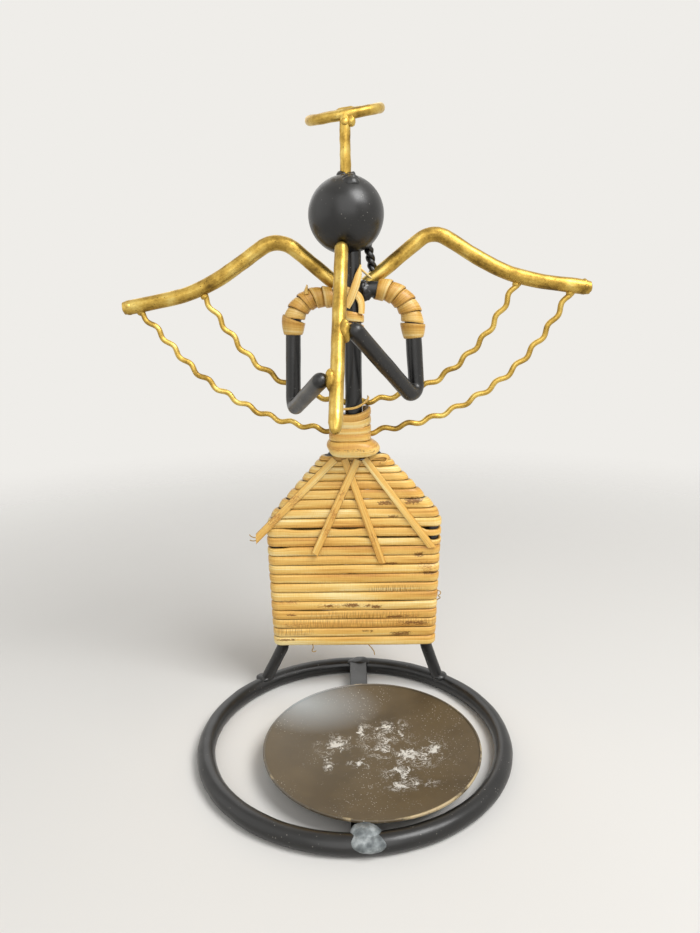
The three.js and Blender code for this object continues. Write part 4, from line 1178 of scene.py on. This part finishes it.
skirtSkin = woundStrip(
    -skirt["backSteps"] // 2,
    skirt["rows"] * perRow - skirt["backSteps"] // 2,
    onSkirt,
    skirtHeight,
    skirtWidth,
    skirt["thickness"],
    skirtLean,
)
paintMarks(skirtSkin, skirtMarks)
frameFoot = Vector((figure.x, frameY, 0))
skirtSkin = joined(skirtSkin, flatStrip(skirtEnd, skirt["endThickness"], frameFoot))
addPiece("skirtWinding", skirtSkin, rattan, ["skirt_winding"])

# Loose fibres at the hem, at the right edge and at the foot of the first strap
fibreBar = 0.5
looseFibres = [
    ((-22.4, -4.3, 28.4), (-22.2, -4.4, 26), (-22.9, -4.2, 24.6), (-22.1, -4.1, 23.7), (-20.8, -4.1, 24.2)),
    ((5.6, -4.3, 28.4), (7.9, -4.4, 25.6), (9.1, -4.2, 23.6), (9.4, -4.1, 21.8)),
    (
        (41, -1.6, 55.9), (43.2, -2, 55.1), (43, -2.3, 53.8),
        (41.9, -2.5, 53.2), (43.1, -2.4, 52.2), (41.6, -2, 50.8),
    ),
    ((-47.4, -5.3, 86), (-50.1, -5.4, 86.3), (-51.5, -5.2, 86.8), (-52.2, -5.1, 87.6)),
    ((-47.8, -5.2, 85), (-50.6, -5.3, 84.5), (-52.1, -5.1, 84.8)),
]
fibres = []
for knots in looseFibres:
    route = smoothRoute([Vector(knot) + frameFoot for knot in knots], spacing=0.4)
    fibres.append(barSkin(route, fibreBar, around=8, rounded=("end",)))
addPiece("looseFibres", joined(*fibres), paleRattan)

# Straps that fan out over the front of the skirt. Each foot is cut off at a slant.
strap = {"width": 3.8, "thickness": 0.95, "bow": 0.25, "steps": 40, "lift": 0.1, "apartInGrain": 90}
skirtStraps = [
    {"top": (-9.4, 125.3), "foot": (-49.1, 85.4), "cut": 45, "layer": 0},
    {"top": (-4.7, 125.4), "foot": (13.3, 72.4), "cut": 70, "layer": 0},
    {"top": (1.6, 125.2), "foot": (-20, 77.6), "cut": 75, "layer": 1},
    {"top": (4.9, 125.4), "foot": (38.1, 80), "cut": 55, "layer": 0},
]
strapMarks = {
    "stains": [
        (-6, 107, 2.2, 4.5), (-10.5, 98, 2.2, 5), (-14, 90, 2.2, 4),
        (-29, 105, 5, 5), (-39, 95, 5, 5), (9, 84, 2, 5),
    ],
}


def strapSkin(index, top, foot, cut, layer):
    start = Vector((figure.x + top[0], 0, top[1]))
    end = Vector((figure.x + foot[0], 0, foot[1]))
    length = (end - start).length
    along = (end - start).normalized()
    across = Vector((-along.z, 0, along.x))
    slant = strap["width"] / 2 / math.tan(cut * degrees)
    front = frameY - skirtCore - skirt["thickness"] - strap["lift"] - layer * strap["thickness"]

    def onStrap(step, k):
        share, depth = stripSection[k]
        done = step / strap["steps"]
        side = -share * strap["width"] / 2
        run = length * done + slant * -share * done**4
        point = start + along * run + across * side
        point.y = front - depth * strap["thickness"] - strap["bow"] * math.sin(math.pi * done)
        return point, (run + strap["apartInGrain"] * index, side, depth)

    return rolledSkin(strap["steps"], len(stripSection), onStrap)


for i, values in enumerate(skirtStraps):
    skin = strapSkin(i, **values)
    paintMarks(skin, strapMarks)
    addPiece(f"skirtStrap{i + 1}", skin, paleRattan, [f"skirt_strap_{i + 1}"])
print("skirt is wound")

# Waist: an oval round the spine and the two frame rods, with a wide band and a winding over it
waist = {
    "room": 1.1,
    "shift": 1.9,
    "roundness": 2.8,
    "strip": 3.1,
    "rowGap": 0.5,
    "shownWidth": 3.8,
    "thickness": 1.3,
    "fan": 1.1,
    "fanPower": 1.6,
    "fanLeft": 0.7,
    "wander": 0.15,
    "turns": 3.9,
    "perTurn": 48,
    "tailThickness": 0.7,
}
band = {
    "foot": 127,
    "top": 135,
    "thickness": 1.2,
    "bulge": 1.3,
    "bulgePower": 0.7,
    "sideRise": 3,
    "wander": 0.25,
    "startAngle": 94,
    "sweep": 376,
    "marks": {
        "knots": [(1.5, 130.6, 10, 0.7)],
        "stains": [(-9, 131.5, 4, 1.2), (9, 132.5, 4, 1)],
    },
}
# Where a single turn starts to lap over itself, over what share of the turn it rises, and how far
lap = {"from": 0.88, "over": 0.08, "rise": 1.1}
waistX = figure.x - waist["shift"]
waistSide = frameRod["waistOut"] + frameRod["bar"] / 2 + seatGap + waist["shift"]
waistDeep = frameY + frameRod["bar"] / 2 - waistY + waist["room"]
bandMiddle = (band["foot"] + band["top"]) / 2
bandHeight = band["top"] - band["foot"]


def onWaist(angle, height, lift, halfWidth):
    power = 2 / waist["roundness"]
    across = math.copysign(abs(math.cos(angle)) ** power, math.cos(angle))
    deep = math.copysign(abs(math.sin(angle)) ** power, math.sin(angle))
    return Vector((waistX + (halfWidth + lift) * across, waistY + (waistDeep + lift) * deep, height))


# How far a single turn is lifted where its end lies over its start
def overStart(share, thickness):
    return lap["rise"] * thickness * min(1, max(0, (share - lap["from"]) / lap["over"]))


def bandSurface(step, height, lift):
    lift += overStart(step / waist["perTurn"], band["thickness"])
    angle = (band["startAngle"] + band["sweep"] * step / waist["perTurn"]) * degrees
    share = (height - bandMiddle) / (bandHeight / 2)
    foot = band["foot"] + band["sideRise"] * math.cos(angle) ** 2
    raised = foot + (share + 1) / 2 * (band["top"] - foot)
    bulge = band["bulge"] * math.cos(min(1, abs(share)) * 90 * degrees) ** band["bulgePower"]
    side = "Left" if math.cos(angle) < 0 else "Right"
    rodReach = frameReach(side, raised, frameRod["bar"] / 2 + seatGap) + sides[side] * waist["shift"]
    return onWaist(angle, raised, lift + bulge, max(waistSide, rodReach + seatGap))


def bandLine(step):
    return bandMiddle + band["wander"] * noise.noise(Vector((step * 0.2, 1, 2)))


turnSteps = waist["perTurn"]
bandSkin = woundStrip(0, turnSteps, bandSurface, bandLine, lambda step: bandHeight, band["thickness"])
paintMarks(bandSkin, band["marks"])
addPiece("waistBand", bandSkin, rattan, ["waist_band"])

waistPitch = waist["strip"] + waist["rowGap"]
waistFoot = band["top"] + seatGap + waist["strip"] / 2
# The strip's end runs up over the last turn to the right, and is tucked in at the wires
waistTail = [
    ((-5.2, -6.4, 150.6), (-0.4, -1, 0.2), 1.1),
    ((0.5, -6.6, 151.2), (0, -1, 0.2), 1.1),
    ((4.6, -5.2, 153.2), (0.5, -1, 0), 1.1),
    ((6.6, -2.4, 155.2), (1, -0.4, 0), 1.1),
    ((6.4, 1.5, 155.6), (1, 0.5, 0), 1.1),
]


def waistAngle(step):
    return (step / waist["perTurn"] * 2 + 0.5) * math.pi


# The upper turns sag over the front and fan out towards the sides
def waistLine(step):
    turn, within = divmod(step - waist["perTurn"] // 4, waist["perTurn"])
    climbed = max(0, turn + max(0, 2 * within / waist["perTurn"] - 1))
    aside = math.cos(waistAngle(step))
    fanned = waist["fan"] * max(0, climbed - 0.5) * abs(aside) ** waist["fanPower"]
    fanned *= 1 if aside > 0 else waist["fanLeft"]
    wander = waist["wander"] * noise.noise(Vector((step * 0.09, 5, 3)))
    return waistFoot + (waistPitch - waist["fan"] / 2) * climbed + fanned + wander


waistSkin = woundStrip(
    0,
    round(waist["turns"] * waist["perTurn"]),
    lambda step, height, lift: onWaist(waistAngle(step), height, lift, waistSide),
    waistLine,
    lambda step: waist["shownWidth"],
    waist["thickness"],
)
figureFoot = Vector((figure.x, figure.y, 0))
waistSkin = joined(waistSkin, flatStrip(waistTail, waist["tailThickness"], figureFoot))
addPiece("waistWinding", waistSkin, rattan, ["waist_winding"])

# Chest: a wide top turn, then a narrower tail down the spine
chest = {
    "top": 197.3,
    "wide": 5,
    "narrow": 2.7,
    "narrowFrom": 0.35,
    "pitch": 4.2,
    "turns": 2.6,
    "perTurn": 40,
    "thickness": 0.9,
    "gap": 0.35,
}


def chestSurface(step, height, lift):
    angle = (2 * step / chest["perTurn"] + 0.5) * math.pi
    radius = head["spineBar"] / 2 + chest["gap"] + lift
    return Vector((figure.x + radius * math.cos(angle), figure.y + radius * math.sin(angle), height))


def chestWidth(step):
    share = min(max(step / chest["perTurn"] - chest["narrowFrom"], 0) / (1 - chest["narrowFrom"]), 1)
    return chest["wide"] + (chest["narrow"] - chest["wide"]) * share


chestSkin = woundStrip(
    0,
    round(chest["turns"] * chest["perTurn"]),
    chestSurface,
    lambda step: chest["top"] - chest["wide"] / 2 - chest["pitch"] * step / chest["perTurn"],
    chestWidth,
    chest["thickness"],
)
addPiece("chestWinding", chestSkin, rattan, ["chest_winding"])

# Two straps that cross over the chest. The one in front ends in a pointed fold beside the neck.
chestStraps = {
    "height": 195.5,
    "apart": 1.4,
    "rear": [
        ((-7.6, 1.6, 10.6), (-0.3, -0.8, 0.5), 3.6),
        ((-5.4, 0.3, 9.2), (0, -1, 0), 3.8),
        ((-1.8, -0.1, 8.4), (0, -1, 0), 3.8),
        ((1.8, 0, 6.8), (0.15, -1, 0), 3.8),
        ((3.3, 0.2, 4.8), (0.3, -1, 0), 3.6),
        ((3.9, 0.3, 2), (0.4, -1, 0), 3.4),
        ((3.8, 0.3, -1.6), (0.4, -1, 0), 3),
    ],
    "front": [
        ((-2.6, 0.2, 1.3), (-0.15, -1, 0), 3),
        ((-0.9, 0, 5), (0, -1, 0), 3.8),
        ((1.4, 0, 11), (0, -1, 0), 3.8),
        ((2.7, 0.2, 15.4), (0.1, -1, 0.1), 3.2),
        ((3.7, 0.9, 19.8), (0.2, -1, 0.2), 0.7),
    ],
    "fold": [
        ((3.2, 0.2, 17.9), (0.6, -0.3, 0.7), 1.4),
        ((4.8, 1.6, 16.6), (0.6, 0, 0.75), 3),
        ((8, 3.2, 14), (0.6, 0, 0.75), 3.4),
    ],
}
rearOrigin = Vector((figure.x, figure.y - head["spineBar"] / 2 - seatGap, chestStraps["height"]))
frontOrigin = rearOrigin + Vector((0, -chestStraps["apart"], 0))
rearSkin = flatStrip(chestStraps["rear"], strap["thickness"], rearOrigin)
addPiece("chestStrapLeft", rearSkin, paleRattan, ["chest_strap_left"])
frontSkin = flatStrip(chestStraps["front"], strap["thickness"], frontOrigin)
foldSkin = flatStrip(chestStraps["fold"], strap["thickness"], frontOrigin)
addPiece("chestStrapRight", joined(frontSkin, foldSkin), paleRattan, ["chest_strap_right"])

# Sleeves and cuffs. The left sleeve's cut end lies on it: each knot has its angle round the arm, how
# far up it is, its lift and its width.
sleeve = {
    "rowGap": 0.75,
    "turns": 4.7,
    "perTurn": 40,
    "thickness": 0.75,
    "gap": 0.2,
    "overlap": 0.9,
    "rise": 0.75,
    "risePower": 1.5,
    "wander": 0.25,
    "starts": {"Left": 6.6, "Right": 8.9},
    "cutHeight": 200.4,
    "cutLift": 1.2,
    "cutThickness": 0.6,
    "cutKnots": [(240, 0.2, 0, 1.9), (208, 0.6, 0.1, 1.8), (182, 1.1, 0.7, 1.3), (168, 1.4, 1.7, 0.5)],
}
cuff = {
    "tops": {"Left": 191.0, "Right": 188.6},
    "heights": {"Left": 6.3, "Right": 6},
    "under": 0.6,
    "gap": 0.3,
    "flare": 1.3,
    "tilt": 1.6,
    "thickness": 0.7,
    "startAngle": 97,
    "sweep": 380,
}


# An upper arm to wind on: a point so far along its middle line, round it and off its surface
class ArmCore:
    span = 0.8  # how far to either side its way is taken

    def __init__(self, side):
        self.route = armRoute(side, step=2, spacing=1)
        self.radius = arms[side]["bar"] / 2
        self.lengths = lengthsAlong(self.route)

    def place(self, angle, distance, lift):
        spots = (distance - self.span, distance, distance + self.span)
        before, middle, after = (pointAlong(self.route, self.lengths, spot) for spot in spots)
        rearward = Vector((0, 1, 0))
        inward = (after - before).normalized().cross(rearward)
        return middle + (inward * math.cos(angle) + rearward * math.sin(angle)) * (self.radius + lift)

    def distanceAt(self, height):
        for k, (start, end) in enumerate(zip(self.route, self.route[1:])):
            if end.z <= height < start.z:
                share = (start.z - height) / (start.z - end.z)
                return self.lengths[k] + share * (self.lengths[k + 1] - self.lengths[k])


def sleeveSkin(core, sign, first, last):
    pitch = (last - first + sleeve["rowGap"]) / (sleeve["turns"] + 1)
    width = pitch - sleeve["rowGap"]

    def onSleeve(step, distance, lift):
        angle = sign * math.tau * step / sleeve["perTurn"] + math.pi / 2
        return core.place(angle, distance, sleeve["gap"] + lift)

    def sleeveLine(step):
        wander = sleeve["wander"] * noise.noise(Vector((step * 0.11, 8, 2)))
        return first + width / 2 + pitch * step / sleeve["perTurn"] + wander

    return woundStrip(
        0,
        round(sleeve["turns"] * sleeve["perTurn"]),
        onSleeve,
        sleeveLine,
        lambda step: width + sleeve["overlap"],
        sleeve["thickness"],
        lambda step, share: sleeve["rise"] * (0.5 + share / 2) ** sleeve["risePower"],
    )


def cutEndSkin(core):
    start = core.distanceAt(sleeve["cutHeight"])
    knots = []
    for angle, up, lift, width in sleeve["cutKnots"]:
        place = partial(core.place, angle * degrees, start - up)
        knots.append((place(sleeve["cutLift"] + lift), place(1) - place(0), width))
    return flatStrip(knots, sleeve["cutThickness"])


def cuffSkin(core, top, foot):
    def onCuff(step, distance, lift):
        angle = (cuff["startAngle"] + cuff["sweep"] * step / sleeve["perTurn"]) * degrees
        upward = (foot - distance) / (foot - top)
        flare = cuff["flare"] * upward + overStart(step / sleeve["perTurn"], cuff["thickness"])
        raised = cuff["tilt"] * upward * (0.5 - 0.5 * math.cos(angle))
        return core.place(angle, distance - raised, cuff["gap"] + lift + flare)

    middle, height = (top + foot) / 2, foot - top
    turnSteps = sleeve["perTurn"]
    return woundStrip(0, turnSteps, onCuff, lambda step: middle, lambda step: height, cuff["thickness"])


for side, sign in sides.items():
    core = ArmCore(side)
    cuffTop = core.distanceAt(cuff["tops"][side])
    cuffFoot = core.distanceAt(cuff["tops"][side] - cuff["heights"][side])
    skin = sleeveSkin(core, sign, sleeve["starts"][side], cuffTop - cuff["under"])
    if side == "Left":
        skin = joined(skin, cutEndSkin(core))
    addPiece("sleeve" + side, skin, agedRattan, ["sleeve_" + side.lower()])
    skin = cuffSkin(core, cuffTop, cuffFoot)
    addPiece("cuff" + side, skin, agedRattan, ["cuff_" + side.lower()])
print("waist, chest and sleeves are wound")

# Floor and background: plain and pale. The floor fades into the world, so no horizon shows.
floor = {"radius": 1.2, "fadeFrom": 0.22, "fadeTo": 0.75, "colour": "e5e3df", "roughness": 0.9}
floorSkin = bmesh.new()
bmesh.ops.create_circle(floorSkin, cap_ends=True, segments=96, radius=floor["radius"])
floorMesh = bpy.data.meshes.new("floor")
floorSkin.to_mesh(floorMesh)
floorSkin.free()
floorPiece = bpy.data.objects.new("floor", floorMesh)
bpy.context.collection.objects.link(floorPiece)
floorMaterial, add, shader = newMaterial("paleFloor")
setNode(shader, {"Base Color": linear(floor["colour"]), "Roughness": floor["roughness"]})
out = add("VectorMath", {"operation": "LENGTH", 0: add("TexCoord", {}, "Object")}, "Value")
fading = {"Value": out, "From Min": floor["fadeFrom"], "From Max": floor["fadeTo"]}
faded = add("MapRange", {"interpolation_type": "SMOOTHSTEP", **fading})
clear = add("BsdfTransparent", {})
fadedFloor = add("MixShader", {"Fac": faded, 1: shader.outputs["BSDF"], 2: clear})
setNode(floorMaterial.node_tree.nodes["Material Output"], {"Surface": fadedFloor})
floorMesh.materials.append(floorMaterial)

backdrop = {"colour": "efede9", "seen": 1, "lighting": 0.24}
world = bpy.data.worlds.new("world")
bpy.context.scene.world = world
world.use_nodes = True
add = partial(addNode, world.node_tree)
rays = add("LightPath", {}).node.outputs
seen = add("Math", {"operation": "MAXIMUM", 0: rays["Is Camera Ray"], 1: rays["Is Transmission Ray"]})
mirrored = add("Math", {"operation": "MAXIMUM", 0: seen, 1: rays["Is Glossy Ray"]})
strength = add("MapRange", {"Value": mirrored, "To Min": backdrop["lighting"], "To Max": backdrop["seen"]})
background = world.node_tree.nodes["Background"]
setNode(background, {"Color": linear(backdrop["colour"]), "Strength": strength})

print("dressed")
